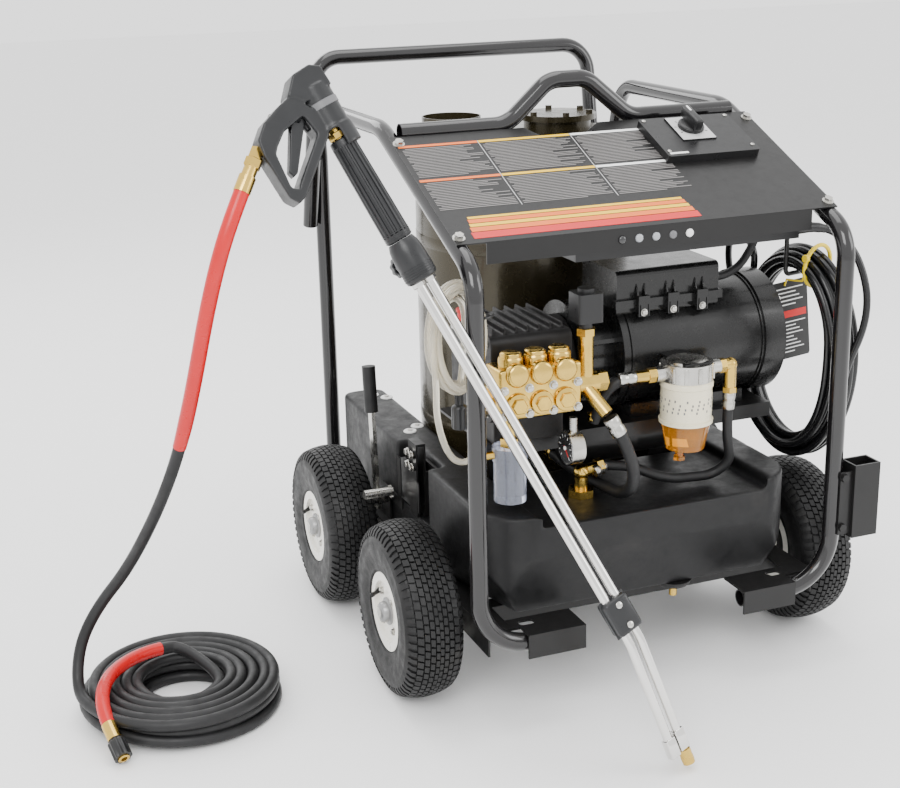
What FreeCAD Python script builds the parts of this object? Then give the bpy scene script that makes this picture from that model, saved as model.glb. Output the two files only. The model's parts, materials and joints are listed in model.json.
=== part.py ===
"""Portable electric hot-water pressure washer on a four-wheeled tube cart.

Millimetres. X runs across the cart, Y from the control panel (front) to the push handle (rear),
Z up, floor at Z = 0. Every function below works in the machine's own frame, whose YZ plane is
the cart's middle plane. STAND moves that frame so that the whole object, with the spray lance
leaning on it, is centred over the part's origin.
"""
import FreeCAD, Part
import math
import os

V = FreeCAD.Vector

# ---------------------------------------------------------------- driving dimensions
STAND = V(95.6, 70.8, 0.0)     # machine frame's place in the part's frame

TUBE_D = 25.4                  # cart tube, outside
TUBE_WALL = 2.0
BEND_R = 55.0                  # centreline radius of the upper bends
FOOT_BEND_R = 75.0             # centreline radius of the lower front bends
SIDE_X = 284.0                 # side tubes, from the middle plane
FRONT_Y = -363.0               # front uprights
TOP_Z = 810.0                  # level top run of the side tubes
REAR_BEND_Y = 318.0            # where the side tubes turn down
REAR_END_Z = 600.0             # where they end on the handle's legs
HANDLE_Y = 386.0               # handle legs
HANDLE_LEAN_Y = 410.0          # handle bar, leaning back
HANDLE_KINK_Z = 715.0
HANDLE_Z = 877.0

SHEET = 2.0                    # panel sheet
PANEL_FRONT = (-325.6, 696.6)  # panel's front fold, Y and Z
PANEL_SLOPE = 23.0             # degrees
PANEL_LENGTH = 275.0           # along the slope
PANEL_OVERHANG = 8.0           # past the side tubes' centre lines
LIP_DROP = 30.0
LIP_HALF = 250.0
LIGHT_PITCH = 26.0
LIGHT_R = 6.0

RAIL_X = 266.0                 # outer face of the base rails
RAIL_LEG = 37.0
RAIL_T = 3.0
RAIL_TOP = 149.0
RAIL_FRONT = -349.0
FOOT_INNER = 131.0
FOOT_OUTER = 217.0
FOOT_FACE = 36.0
FOOT_SLOT = (33.0, 14.0)

WHEEL_R = 132.0
WHEEL_W = 86.0
WHEEL_X = 326.5                # wheels' middle planes
AXLE_FRONT_Y = -190.0
AXLE_REAR_Y = 170.5
AXLE_R = 8.0
AXLE_RUNNING = 0.06            # radial clearance of the wheel hubs
RIM_R = 59.0
RIM_BARREL_R = 51.0
RIM_FACE = 37.0                # rim flange, outward from the wheel's middle plane

TANK_HALF = 250.0
TANK_FRONT = -330.0
TANK_BLOCK_BACK = -122.0
TANK_REAR = 352.0
TANK_TOP = 300.0
TANK_TRAY = 283.0              # the front block's sunken middle
TANK_POD_INNER = 176.0
TANK_WALL = 5.0
TANK_CORNER = 70.0
TAPER_Z = 236.0                # the front block tapers in below this level
TAPER_FRONT = 22.0
TAPER_SIDE = 52.0
NOTCH_Y = (-78.0, 58.0)        # recess for the brake bracket
NOTCH_DEPTH = 24.0
NOTCH_FLOOR = 205.0

HEATER_R = 172.0
HEATER_Y = 124.0
HEATER_BASE = 156.0
HEATER_TOP = 762.0
HEATER_WALL = 2.0
COIL_R = 120.0
COIL_PIPE_R = 11.0
COIL_PITCH = 30.0
COIL_TURNS = 15
STACK_R = 47.5
STACK_AT = (-103.0, 165.0)
STACK_TOP = 797.0
CAP_AT = (62.0, 118.0)
CAP_R = 62.0

SHAFT_Y = -165.0               # motor and pump shaft
SHAFT_Z = 484.0
SHAFT_R = 12.0
MOTOR_R = 89.0
MOTOR_X = (-2.0, 228.0)
BELL_X = 262.0
FLANGE_X = -68.0
FIT = 0.3                      # clearance between faces that move past each other
BEARING_RUNNING = 0.05

PUMP_X = (-222.0, -98.0)
PUMP_Y = (-268.0, -118.0)
PUMP_Z = (424.0, 548.0)
HEAD_X = (-232.0, -108.0)
HEAD_Y = (-320.0, -268.0)
HEAD_Z = (444.0, 516.0)
PLUNGER_PITCH = 36.0
PLUNGER_R = 9.0
CRANK_THROW = 7.0
THROW_R = 21.0

SHELF_Z = 388.0                # top of the shelf under the motor
FILTER_AT = (70.0, -297.0)
FILTER_R = 37.0
STRAINER_AT = (-205.0, -290.0)

BRAKE_X = -270.0               # brake lever's plane
BRAKE_PIVOT = (110.0, 185.0)
BRAKE_PIN_R = 6.0

POCKET_WIDTH = 44.0            # lance holder, across
POCKET_WALL = 3.0
POCKET_Z = (206.0, 320.0)

HOSE_D = 17.0
CORD_D = 11.0
CLEAR_D = 9.0
COIL_AT = (-651.0, -100.0)     # the hose's coil on the floor
COIL_OUTER = 152.0
COIL_INNER = 58.0
COIL_HEIGHT = 56.0
HANK_AT = V(318.0, -201.0, 448.0)   # the power cord's hank, beside the right upright
HANK_HALF = (119.0, 172.0)     # its half width and half height
HANK_BAND = 42.0               # breadth of its bundle
HANK_THICK = 40.0
HANK_TURN = 12.8               # degrees away from the cart's side plane
CLEAR_AT = V(-292.0, -323.0, 571.0)
CLEAR_HALF = (45.0, 82.0)
CLEAR_BAND = 20.0
CLEAR_THICK = 28.0

# the lance: tip, bend under the clamp, and where it leans on the front upright
LANCE_TIP = V(-72.3, -556.3, 14.0)
LANCE_BEND = V(-129.0, -519.0, 190.0)
LEAN_Z = 552.0
LEAN_SIDE = 12.5               # how far left of the upright's centre line it passes
LANCE_PIPE_R = 6.5
LANCE_GAP = 17.0               # between the two pipes' centres
VALVE_START = 547.0            # along the lance from its bend
GRIP_START = 605.0
GRIP_END = 752.0
GUN_START = 764.0              # the gun's outlet
TRIGGER_PIN = (33.0, 40.0)     # from the outlet, along the lance and aside
TRIGGER_PIN_R = 3.0

NODES = {}


def keep(name, *solids):
    """Store a node, as one solid or as a group of separate solids."""
    NODES[name] = solids[0] if len(solids) == 1 else Part.makeCompound(list(solids))


# ---------------------------------------------------------------- helpers
def box(low, high):
    return Part.makeBox(high[0] - low[0], high[1] - low[1], high[2] - low[2], V(*low))


def rod(start, end, radius):
    start, end = V(*start), V(*end)
    return Part.makeCylinder(radius, (end - start).Length, start, end - start)


def ring(start, end, outer, inner):
    return rod(start, end, outer).cut(rod(start, end, inner))


def fuse(first, *others):
    return first.multiFuse(list(others)).removeSplitter() if others else first


def mirror_x(shape):
    return shape.mirror(V(0, 0, 0), V(1, 0, 0))


def round_edges(shape, radius, direction=None):
    """Fillet the edges parallel to a direction, or all straight edges."""
    picked = []
    for edge in shape.Edges:
        if edge.Curve.TypeId != "Part::GeomLine":
            continue
        along = edge.tangentAt(edge.FirstParameter)
        if direction is None or abs(along.dot(V(*direction))) > 0.999:
            picked.append(edge)
    return shape.makeFillet(radius, picked)


def bend_points(points, radii):
    """Straight runs joined by tangent arcs: the path's edges, and the radii used."""
    points = [V(*p) for p in points]
    edges, used = [], []
    start = points[0]
    for i in range(1, len(points) - 1):
        before = points[i] - points[i - 1]
        after = points[i + 1] - points[i]
        turn = before.getAngle(after)
        half = math.tan(turn / 2)
        if radii is None:
            radius = 0.45 * min(before.Length, after.Length) / half
        else:
            radius = radii[i - 1]
        used.append(radius)
        before.normalize()
        after.normalize()
        tangent = radius * half
        arc_in = points[i] - before * tangent
        arc_out = points[i] + after * tangent
        inward = after - before
        inward.normalize()
        middle = points[i] + inward * (radius / math.cos(turn / 2) - radius)
        edges.append(Part.LineSegment(start, arc_in).toShape())
        edges.append(Part.Arc(arc_in, middle, arc_out).toShape())
        start = arc_out
    edges.append(Part.LineSegment(start, points[-1]).toShape())
    return edges, used


def sweep(points, radii, radius, label=None):
    """A round bar along a bent path. With no radii, each arc is as large as its runs allow."""
    edges, used = bend_points(points, radii)
    path = Part.Wire(edges)
    first, second = V(*points[0]), V(*points[1])
    profile = Part.Wire([Part.Circle(first, second - first, radius).toShape()])
    solid = path.makePipeShell([profile], True, False)
    exact = math.pi * radius ** 2 * path.Length
    if label:
        print("%s: length %.0f mm, radii %s, volume ratio %.4f" % (
            label, path.Length, [round(r) for r in used], solid.Volume / exact))
    return solid


def tube(points, radii):
    outer = sweep(points, radii, TUBE_D / 2)
    inner = sweep(points, radii, TUBE_D / 2 - TUBE_WALL)
    return outer.cut(inner)


def hexagon(centre, normal, across, height):
    """A hexagonal prism standing on centre along normal."""
    normal = V(*normal)
    normal.normalize()
    side = normal.cross(V(0, 0, 1))
    if side.Length < 0.1:
        side = V(1, 0, 0)
    side.normalize()
    other = normal.cross(side)
    radius = across / math.sqrt(3)
    corners = []
    for i in range(7):
        angle = math.radians(60 * i)
        corners.append(V(*centre) + side * radius * math.cos(angle)
                       + other * radius * math.sin(angle))
    return Part.Face(Part.makePolygon(corners)).extrude(normal * height)


# ---------------------------------------------------------------- the sloped panel's plane
SLOPE = math.radians(PANEL_SLOPE)
PANEL_UP = V(0, math.cos(SLOPE), math.sin(SLOPE))       # along the slope, towards the rear
PANEL_OUT = V(0, -math.sin(SLOPE), math.cos(SLOPE))     # the panel's outward normal


def on_panel(x, along, above=0.0):
    """A point by its distance across, up the slope from the front fold, and above the sheet."""
    base = V(x, PANEL_FRONT[0], PANEL_FRONT[1])
    return base + PANEL_UP * along + PANEL_OUT * above


def panel_block(x0, x1, s0, s1, below, above):
    """A slab in the panel's plane."""
    low = on_panel(x0, s0, below)
    face = Part.Face(Part.makePolygon([
        low, on_panel(x1, s0, below), on_panel(x1, s1, below), on_panel(x0, s1, below), low]))
    return face.extrude(PANEL_OUT * (above - below))


# ---------------------------------------------------------------- cart
SIDE_RADII = [FOOT_BEND_R, BEND_R, BEND_R * 2, BEND_R]


def side_path():
    """The left side: foot, front upright, slope under the panel, top run, short rear leg."""
    under = on_panel(0, 0, -(SHEET + TUBE_D / 2))
    corner_z = under.z + (FRONT_Y - under.y) * math.tan(SLOPE)
    return [
        (-FOOT_INNER, FRONT_Y, foot_z()),
        (-SIDE_X, FRONT_Y, foot_z()),
        (-SIDE_X, FRONT_Y, corner_z),
        (-SIDE_X, tube_rise_y(), TOP_Z),
        (-SIDE_X, REAR_BEND_Y, TOP_Z),
        (-SIDE_X, HANDLE_Y - 8, REAR_END_Z),
    ]


def tube_rise_y():
    """Where the side tube's slope meets its level top run."""
    under = on_panel(0, 0, -(SHEET + TUBE_D / 2))
    return under.y + (TOP_Z - under.z) / math.tan(SLOPE)


def side_tube():
    return tube(side_path(), SIDE_RADII)


def foot_z():
    return RAIL_TOP - RAIL_T - TUBE_D / 2 - 0.3


def handle_leg_x():
    return SIDE_X - TUBE_D - 0.4


def push_handle():
    x = handle_leg_x()
    base = RAIL_TOP - RAIL_LEG
    points = [
        (-x, HANDLE_Y, base), (-x, HANDLE_Y, HANDLE_KINK_Z), (-x, HANDLE_LEAN_Y, HANDLE_Z),
        (x, HANDLE_LEAN_Y, HANDLE_Z), (x, HANDLE_Y, HANDLE_KINK_Z), (x, HANDLE_Y, base),
    ]
    return tube(points, [BEND_R * 2, 48, 48, BEND_R * 2])


def lift_arch():
    """The cross tube behind the panel, with the hump that a hoist hook takes."""
    y = PANEL_FRONT[0] + PANEL_LENGTH * math.cos(SLOPE) + TUBE_D / 2 + 1.5
    end = SIDE_X - TUBE_D / 2 - 0.3
    low = TOP_Z - 2
    points = [(-end, y, low), (-104, y, low), (-36, y, low + 61), (24, y, low + 61),
              (98, y, low), (end, y, low)]
    return tube(points, [50, 42, 42, 50])


def base_rail(side):
    """Angle rail along one side, its upright leg outside, bored for both axles."""
    outer = side * RAIL_X
    inner = side * (RAIL_X - RAIL_T)
    far = side * (RAIL_X - RAIL_LEG)
    rear = HANDLE_Y - TUBE_D / 2 - 0.5
    upright = box((min(outer, inner), RAIL_FRONT, RAIL_TOP - RAIL_LEG),
                  (max(outer, inner), rear, RAIL_TOP))
    flat = box((min(outer, far), RAIL_FRONT, RAIL_TOP - RAIL_T), (max(outer, far), rear, RAIL_TOP))
    angle = fuse(upright, flat)
    for y in (AXLE_FRONT_Y, AXLE_REAR_Y):
        angle = angle.cut(rod((outer - side * 6, y, WHEEL_R), (outer + side, y, WHEEL_R), AXLE_R))
    return angle


def cross_member(y):
    """Angle between the rails, under the tank and the heater."""
    half = RAIL_X - RAIL_T - 0.3
    drop = RAIL_TOP - RAIL_T - 0.3
    web = box((-half, y, drop - 26), (half, y + RAIL_T, drop))
    return fuse(web, box((-half, y, drop - RAIL_T), (half, y + 28, drop)))


def foot_bracket(side):
    """Folded plate that ties a front foot to its rail and carries the tank's front edge."""
    top = RAIL_TOP
    back = FRONT_Y + 42
    front = FRONT_Y - TUBE_D / 2 - RAIL_T - 0.3
    plate = box((FOOT_INNER - 2, front, top - RAIL_T), (FOOT_OUTER, back, top))
    wing = box((FOOT_OUTER - 5, FRONT_Y + TUBE_D / 2 + 0.6, top - RAIL_T),
               (RAIL_X, RAIL_FRONT - 0.3, top))
    tie = box((FOOT_OUTER - 5, RAIL_FRONT - 0.3, top - RAIL_T),
              (RAIL_X - RAIL_LEG - 0.3, back, top))
    face = box((FOOT_INNER - 2, front, top - FOOT_FACE), (FOOT_OUTER, front + RAIL_T, top))
    bracket = fuse(plate, tie, face)
    slot = box((FOOT_OUTER - 26, FRONT_Y + 18, top - 5), (FOOT_OUTER - 26 + 24, FRONT_Y + 32, top + 1))
    slot = round_edges(slot, 6.5, (0, 0, 1))
    bracket = bracket.cut(slot).cut(mirror_x(sweep(side_path(), SIDE_RADII, TUBE_D / 2 + 0.2)))
    return bracket if side > 0 else mirror_x(bracket)


def axle(y):
    half = WHEEL_X + RIM_FACE + 9
    shaft = rod((-half, y, WHEEL_R), (half, y, WHEEL_R), AXLE_R)
    for side in (-1, 1):
        face = side * (WHEEL_X + RIM_FACE - 7)
        nut = hexagon((face + side * 1.0, y, WHEEL_R), (side, 0, 0), 24, 10)
        shaft = shaft.fuse(nut)
        collar = side * (WHEEL_X - WHEEL_W / 2 - 1.5)
        shaft = shaft.fuse(rod((collar, y, WHEEL_R), (collar - side * 6, y, WHEEL_R), 14))
    return shaft.removeSplitter()


def tyre(side, y):
    """Pneumatic tyre: a revolved section with a flat tread and round shoulders."""
    x = side * WHEEL_X
    half = WHEEL_W / 2
    tread = half - 14
    bead = RIM_BARREL_R + 1
    rim_half = 30.0
    crown = Part.Arc(V(-tread, WHEEL_R - 5, 0), V(0, WHEEL_R, 0), V(tread, WHEEL_R - 5, 0))
    right = Part.Arc(V(tread, WHEEL_R - 5, 0), V(half, 92, 0), V(rim_half, bead, 0))
    left = Part.Arc(V(-rim_half, bead, 0), V(-half, 92, 0), V(-tread, WHEEL_R - 5, 0))
    base = Part.LineSegment(V(rim_half, bead, 0), V(-rim_half, bead, 0))
    wire = Part.Wire([crown.toShape(), right.toShape(), base.toShape(), left.toShape()])
    body = Part.Face(wire).revolve(V(0, 0, 0), V(1, 0, 0), 360)
    inside = Part.makeCylinder(bead - 0.7, WHEEL_W, V(-half, 0, 0), V(1, 0, 0))
    body = body.cut(inside)
    for way in (-1, 1):
        seat = ring((way * 30.0, 0, 0), (way * (RIM_FACE + 9), 0, 0), RIM_R + 0.4, bead - 8)
        body = body.cut(seat)
    body.translate(V(x, y, WHEEL_R))
    return body


def rim(side, y):
    """Pressed steel rim with a dished disc and a hub that runs on the axle."""
    x = side * WHEEL_X
    out = side

    def at(distance):
        return (x + out * distance, y, WHEEL_R)
    barrel = ring(at(-31), at(31), RIM_BARREL_R, RIM_BARREL_R - 3)
    flange_out = ring(at(30.3), at(RIM_FACE), RIM_R, RIM_BARREL_R - 5)
    flange_in = ring(at(-RIM_FACE), at(-30.3), RIM_R, RIM_BARREL_R - 5)
    disc = ring(at(27), at(31), RIM_BARREL_R - 1, 14)
    hub = ring(at(-WHEEL_W / 2 + 2), at(29), 17, AXLE_R + AXLE_RUNNING)
    boss = ring(at(24), at(29), 20, AXLE_R + AXLE_RUNNING)
    return fuse(barrel, flange_out, flange_in, disc, hub, boss)


# ---------------------------------------------------------------- tank
def tank_outline(grow):
    """Front block and two pods, as one solid. grow is negative for the inside."""
    half = TANK_HALF + grow
    front = TANK_FRONT - grow
    low = RAIL_TOP + 0.3 - grow
    top = TANK_TOP + grow
    block = box((-half, front, low), (half, TANK_BLOCK_BACK + grow, top))
    block = round_edges(block, TANK_CORNER + grow, (0, 0, 1))
    inner = TANK_POD_INNER - grow
    pods = []
    for side in (-1, 1):
        low_x, high_x = sorted((side * inner, side * half))
        pod = box((low_x, TANK_BLOCK_BACK - TANK_CORNER - 10, low), (high_x, TANK_REAR + grow, top))
        pods.append(round_edges(pod, 22 + grow, (0, 0, 1)))
    outline = fuse(block, *pods)
    for trim in tank_trims(grow):
        outline = outline.cut(trim)
    return outline


def beyond_plane(a, b, c, outward, grow):
    """A thick slab on the outer side of the plane through three points."""
    normal = (b - a).cross(c - a)
    normal.normalize()
    if normal.dot(outward) < 0:
        normal = normal * -1
    u = b - a
    u.normalize()
    v = normal.cross(u)
    centre = a + normal * grow
    reach = 600
    corners = [centre + u * (reach * i) + v * (reach * j)
               for i, j in ((-1, -1), (1, -1), (1, 1), (-1, 1), (-1, -1))]
    return Part.Face(Part.makePolygon(corners)).extrude(normal * 200)


def tank_trims(grow):
    """What the front block loses where its lower half tapers in at the front and the corners."""
    low = RAIL_TOP
    trims = [beyond_plane(V(0, TANK_FRONT, TAPER_Z), V(100, TANK_FRONT, TAPER_Z),
                          V(0, TANK_FRONT + TAPER_FRONT, low), V(0, -1, -0.2), grow)]
    for side in (-1, 1):
        trims.append(beyond_plane(V(side * TANK_HALF, TANK_FRONT, TAPER_Z),
                                  V(side * TANK_HALF, TANK_BLOCK_BACK, low),
                                  V(side * (TANK_HALF - TAPER_SIDE), TANK_FRONT, low),
                                  V(side, -0.2, -0.2), grow))
    return trims


def tank():
    outer = tank_outline(0)
    tray = box((-178, TANK_FRONT - 1, TANK_TRAY), (196, TANK_BLOCK_BACK + 1, TANK_TOP + 5))
    tray = round_edges(tray, 12, (0, 0, 1))
    hollow_top = box((-300, -400, TANK_TRAY - TANK_WALL), (300, 400, TANK_TOP + 5))
    inner = tank_outline(-TANK_WALL).cut(hollow_top)
    notch = box((-TANK_HALF - 5, NOTCH_Y[0], NOTCH_FLOOR),
                (-TANK_HALF + NOTCH_DEPTH, NOTCH_Y[1], TANK_TOP + 5))
    notch_skin = box((-TANK_HALF - 5, NOTCH_Y[0] - TANK_WALL, NOTCH_FLOOR - TANK_WALL),
                     (-TANK_HALF + NOTCH_DEPTH + TANK_WALL, NOTCH_Y[1] + TANK_WALL, TANK_TOP + 5))
    inner = inner.cut(notch_skin)
    shell = outer.cut(tray).cut(notch)
    filler_x = (TANK_POD_INNER + TANK_HALF) / 2
    shell = shell.cut(inner)
    neck = ring((filler_x, 262, TANK_TOP - 12), (filler_x, 262, TANK_TOP + 14), 26, 21)
    bore = rod((filler_x, 262, TANK_TOP - 30), (filler_x, 262, TANK_TOP + 20), 21)
    return fuse(shell.cut(bore), neck)


def fuel_cap():
    x = (TANK_POD_INNER + TANK_HALF) / 2
    skirt = ring((x, 262, TANK_TOP + 3), (x, 262, TANK_TOP + 22), 34, 26 + FIT)
    top = rod((x, 262, TANK_TOP + 14.4), (x, 262, TANK_TOP + 22), 30)
    grip = box((x - 26, 257, TANK_TOP + 21), (x + 26, 267, TANK_TOP + 31))
    return fuse(skirt, top, round_edges(grip, 4, (0, 0, 1)))


# ---------------------------------------------------------------- heater
def heater_shell():
    wall = ring((0, HEATER_Y, HEATER_BASE), (0, HEATER_Y, HEATER_TOP), HEATER_R,
                HEATER_R - HEATER_WALL)
    floor = rod((0, HEATER_Y, HEATER_BASE), (0, HEATER_Y, HEATER_BASE + 3), HEATER_R - 1)
    shell = fuse(wall, floor)
    air = rod((0, HEATER_Y - HEATER_R - 5, 344), (0, HEATER_Y - HEATER_R + 20, 344), 31)
    shell = shell.cut(air)
    feet = []
    for x in (-95, 95):
        for y in (HEATER_Y - 115, HEATER_Y + 115):
            feet.append(box((x - 15, y - 15, RAIL_TOP - 3), (x + 15, y + 15, HEATER_BASE + 1)))
    return fuse(shell, *feet)


def heater_coil():
    """The water coil: one pipe wound up inside the shell."""
    height = COIL_PITCH * COIL_TURNS
    helix = Part.makeHelix(COIL_PITCH, height, COIL_R)
    profile = Part.Wire([Part.Circle(V(COIL_R, 0, 0), V(0, 1, 0), COIL_PIPE_R).toShape()])
    coil = Part.Wire(helix.Edges).makePipeShell([profile], True, True)
    coil.translate(V(0, HEATER_Y, HEATER_BASE + 60))
    return coil


def heater_lid():
    """Lid with the exhaust stack and the capped opening over the coil."""
    y = HEATER_Y
    lid = rod((0, y, HEATER_TOP), (0, y, HEATER_TOP + 4), HEATER_R + 3)
    skirt = ring((0, y, HEATER_TOP - 14), (0, y, HEATER_TOP + 1), HEATER_R + 3, HEATER_R + 0.4)
    sx, sy = STACK_AT
    stack = rod((sx, sy, HEATER_TOP + 2), (sx, sy, STACK_TOP), STACK_R)
    cx, cy = CAP_AT
    collar = rod((cx, cy, HEATER_TOP + 2), (cx, cy, 790), CAP_R - 8)
    top = rod((cx, cy, 788), (cx, cy, 797), CAP_R)
    body = fuse(lid, skirt, stack, collar, top)
    bore = rod((sx, sy, HEATER_TOP - 5), (sx, sy, STACK_TOP + 5), STACK_R - 2)
    body = body.cut(bore)
    bolts = []
    for i in range(6):
        angle = math.radians(60 * i + 20)
        at = (cx + (CAP_R - 9) * math.cos(angle), cy + (CAP_R - 9) * math.sin(angle), 796.5)
        bolts.append(hexagon(at, (0, 0, 1), 10, 6))
    return fuse(body, *bolts)


def burner_housing():
    """Blower scroll and air tube that feed the burner at the heater's front."""
    z = 344
    scroll = rod((-62, -165, z), (44, -165, z), 38)
    hollow = rod((-56, -165, z), (38, -165, z), 34.5)
    inlet = rod((-70, -165, z), (-50, -165, z), 22)
    duct = rod((0, -160, z), (0, HEATER_Y - HEATER_R + 14, z), 30.5)
    duct_in = rod((0, -170, z), (0, HEATER_Y - HEATER_R + 15, z), 27)
    motor = rod((44, -165, z), (108, -165, z), 32)
    transformer = box((-60, -118, 312), (-32, -60, 384))
    body = fuse(scroll, duct, motor)
    shaft_hole = rod((30, -165, z), (100, -165, z), 7)
    body = body.cut(hollow).cut(inlet).cut(duct_in).cut(shaft_hole)
    return fuse(body, transformer)


def blower_wheel():
    z = 344
    back = rod((28, -165, z), (31, -165, z), 32)
    hub = rod((10, -165, z), (31, -165, z), 9)
    shaft = rod((30, -165, z), (96, -165, z), 7 - BEARING_RUNNING)
    wheel = fuse(back, hub, shaft)
    blades = []
    count = 18
    for i in range(count):
        angle = 360.0 / count * i
        blade = box((-48, -165 - 1, z + 25), (29, -165 + 1, z + 31.5))
        blade.rotate(V(0, -165, z), V(1, 0, 0), angle)
        blades.append(blade)
    end = ring((-49, -165, z), (-46, -165, z), 32, 25.5)
    return fuse(wheel, end, *blades)


# ---------------------------------------------------------------- motor
def motor_body():
    """Motor shell with its end bell, pump flange and feet."""
    y, z = SHAFT_Y, SHAFT_Z
    shell = ring((MOTOR_X[0], y, z), (MOTOR_X[1], y, z), MOTOR_R, MOTOR_R - 4)
    bell = ring((MOTOR_X[1] - 1, y, z), (BELL_X, y, z), MOTOR_R + 5, MOTOR_R - 4)
    end = rod((BELL_X - 5, y, z), (BELL_X, y, z), MOTOR_R - 2)
    seat = ring((MOTOR_X[1], y, z), (BELL_X - 4, y, z), 24, SHAFT_R + BEARING_RUNNING)
    web = ring((MOTOR_X[1] + 4, y, z), (MOTOR_X[1] + 9, y, z), MOTOR_R - 2, 20)
    front = ring((MOTOR_X[0] - 6, y, z), (MOTOR_X[0] + 4, y, z), MOTOR_R + 2,
                 SHAFT_R + BEARING_RUNNING)
    adaptor = ring((FLANGE_X, y, z), (MOTOR_X[0] - 5, y, z), 58, 44)
    flange = ring((FLANGE_X, y, z), (FLANGE_X + 10, y, z), 78, 44)
    ribs = []
    for i in range(8):
        rib = box((FLANGE_X + 5, y - 3, z + 50), (MOTOR_X[0] - 4, y + 3, z + 76))
        rib.rotate(V(0, y, z), V(1, 0, 0), 45 * i + 22.5)
        ribs.append(rib)
    foot = box((MOTOR_X[0] + 20, y - 62, SHELF_Z + 0.2), (MOTOR_X[1] - 20, y + 62, z - MOTOR_R + 14))
    foot = foot.cut(rod((MOTOR_X[0], y, z), (MOTOR_X[1], y, z), MOTOR_R - 2))
    return fuse(shell, bell, end, seat, web, front, adaptor, flange, foot, *ribs)


def motor_rotor():
    """Rotor on its shaft, with the cooling fan; the shaft reaches into the pump coupling."""
    y, z = SHAFT_Y, SHAFT_Z
    shaft = rod((FLANGE_X + 20, y, z), (BELL_X - 8, y, z), SHAFT_R)
    core = rod((34, y, z), (170, y, z), 48)
    hub = rod((186, y, z), (212, y, z), 24)
    blades = []
    for i in range(7):
        blade = box((188, y - 1.5, z + 20), (210, y + 1.5, z + 74))
        blade.rotate(V(0, y, z), V(1, 0, 0), 360.0 / 7 * i)
        blades.append(blade)
    half = ring((FLANGE_X + 20, y, z), (FLANGE_X + 50, y, z), 26, SHAFT_R - 1)
    return fuse(shaft, core, hub, half, *blades)


def motor_stator():
    y, z = SHAFT_Y, SHAFT_Z
    return ring((30, y, z), (174, y, z), MOTOR_R - 4, 49)


def motor_cover():
    """Capacitor and wiring box along the top of the motor, with its three clamps."""
    y, z = SHAFT_Y, SHAFT_Z
    low = z + 60
    body = box((-10, y - 66, low), (158, y + 44, z + 128))
    body = round_edges(body, 9, (1, 0, 0))
    body = body.cut(rod((-30, y, z), (200, y, z), MOTOR_R + 2 + FIT))
    lip = box((-14, y - 72, z + 74), (162, y - 60, z + 86))
    lip = lip.cut(rod((-30, y, z), (200, y, z), MOTOR_R + 2 + FIT))
    clamps = []
    for x in (28, 76, 124):
        clamp = box((x - 9, y - 80, z + 62), (x + 9, y - 60, z + 92))
        clamp = clamp.cut(rod((-30, y, z), (200, y, z), MOTOR_R + 2 + FIT))
        clamps.append(clamp)
    return fuse(body, lip, *clamps)


# ---------------------------------------------------------------- pump
def pump_crankcase():
    """Crankcase with a ribbed top cover and an oil sight boss."""
    y, z = SHAFT_Y, SHAFT_Z
    low = (PUMP_X[0], PUMP_Y[0], PUMP_Z[0])
    high = (PUMP_X[1], PUMP_Y[1], PUMP_Z[1])
    case = round_edges(box(low, high), 10, (1, 0, 0))
    cavity = box((PUMP_X[0] + 10, PUMP_Y[0] + 48, PUMP_Z[0] + 12),
                 (PUMP_X[1] - 10, PUMP_Y[1] - 12, PUMP_Z[1] - 12))
    case = case.cut(cavity)
    ribs = []
    for i in range(7):
        x = PUMP_X[0] + 8 + i * (PUMP_X[1] - PUMP_X[0] - 19) / 6.0
        ribs.append(box((x, PUMP_Y[0] + 14, PUMP_Z[1] - 1), (x + 3.5, PUMP_Y[1] - 14, PUMP_Z[1] + 9)))
    nose = ring((PUMP_X[1] - 1, y, z), (FLANGE_X - 0.2, y, z), 58, 32)
    pad = box((PUMP_X[0] + 8, PUMP_Y[0] + 12, SHELF_Z + 0.2),
              (PUMP_X[1] - 8, PUMP_Y[1] - 12, PUMP_Z[0] + 1))
    case = fuse(case, nose, pad, *ribs)
    case = case.cut(rod((PUMP_X[1] - 20, y, z), (PUMP_X[1] + 5, y, z), SHAFT_R + BEARING_RUNNING))
    case = case.cut(rod((PUMP_X[0] + 3, y, z), (PUMP_X[0] + 20, y, z), SHAFT_R + BEARING_RUNNING))
    for x in plunger_xs():
        case = case.cut(rod((x, PUMP_Y[0] - 5, z), (x, PUMP_Y[0] + 60, z), PLUNGER_R + FIT))
    return case


def plunger_xs():
    middle = (PUMP_X[0] + PUMP_X[1]) / 2
    return [middle + i * PLUNGER_PITCH * 0.86 for i in (-1, 0, 1)]


def pump_crankshaft():
    """Three-throw crankshaft with its half of the motor coupling."""
    y, z = SHAFT_Y, SHAFT_Z
    left = rod((PUMP_X[0] + 4, y, z), (plunger_xs()[0] - 9, y, z), SHAFT_R)
    right = rod((plunger_xs()[2] + 9, y, z), (FLANGE_X + 18, y, z), SHAFT_R)
    half = ring((FLANGE_X - 8, y, z), (FLANGE_X + 19.5, y, z), 26, SHAFT_R - 1)
    middle = rod((PUMP_X[0] + 12, y, z), (PUMP_X[1] - 12, y, z), SHAFT_R - 1)
    throws = []
    for i, x in enumerate(plunger_xs()):
        angle = math.radians(120 * i)
        cy = y + CRANK_THROW * math.cos(angle)
        cz = z + CRANK_THROW * math.sin(angle)
        throws.append(rod((x - 9, cy, cz), (x + 9, cy, cz), THROW_R))
    return fuse(left, right, half, middle, *throws)


def pump_plungers():
    y, z = SHAFT_Y, SHAFT_Z
    rods = []
    back = y - CRANK_THROW - THROW_R - 1
    for x in plunger_xs():
        rods.append(rod((x, HEAD_Y[0] + 18, z), (x, back, z), PLUNGER_R))
    return rods


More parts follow.
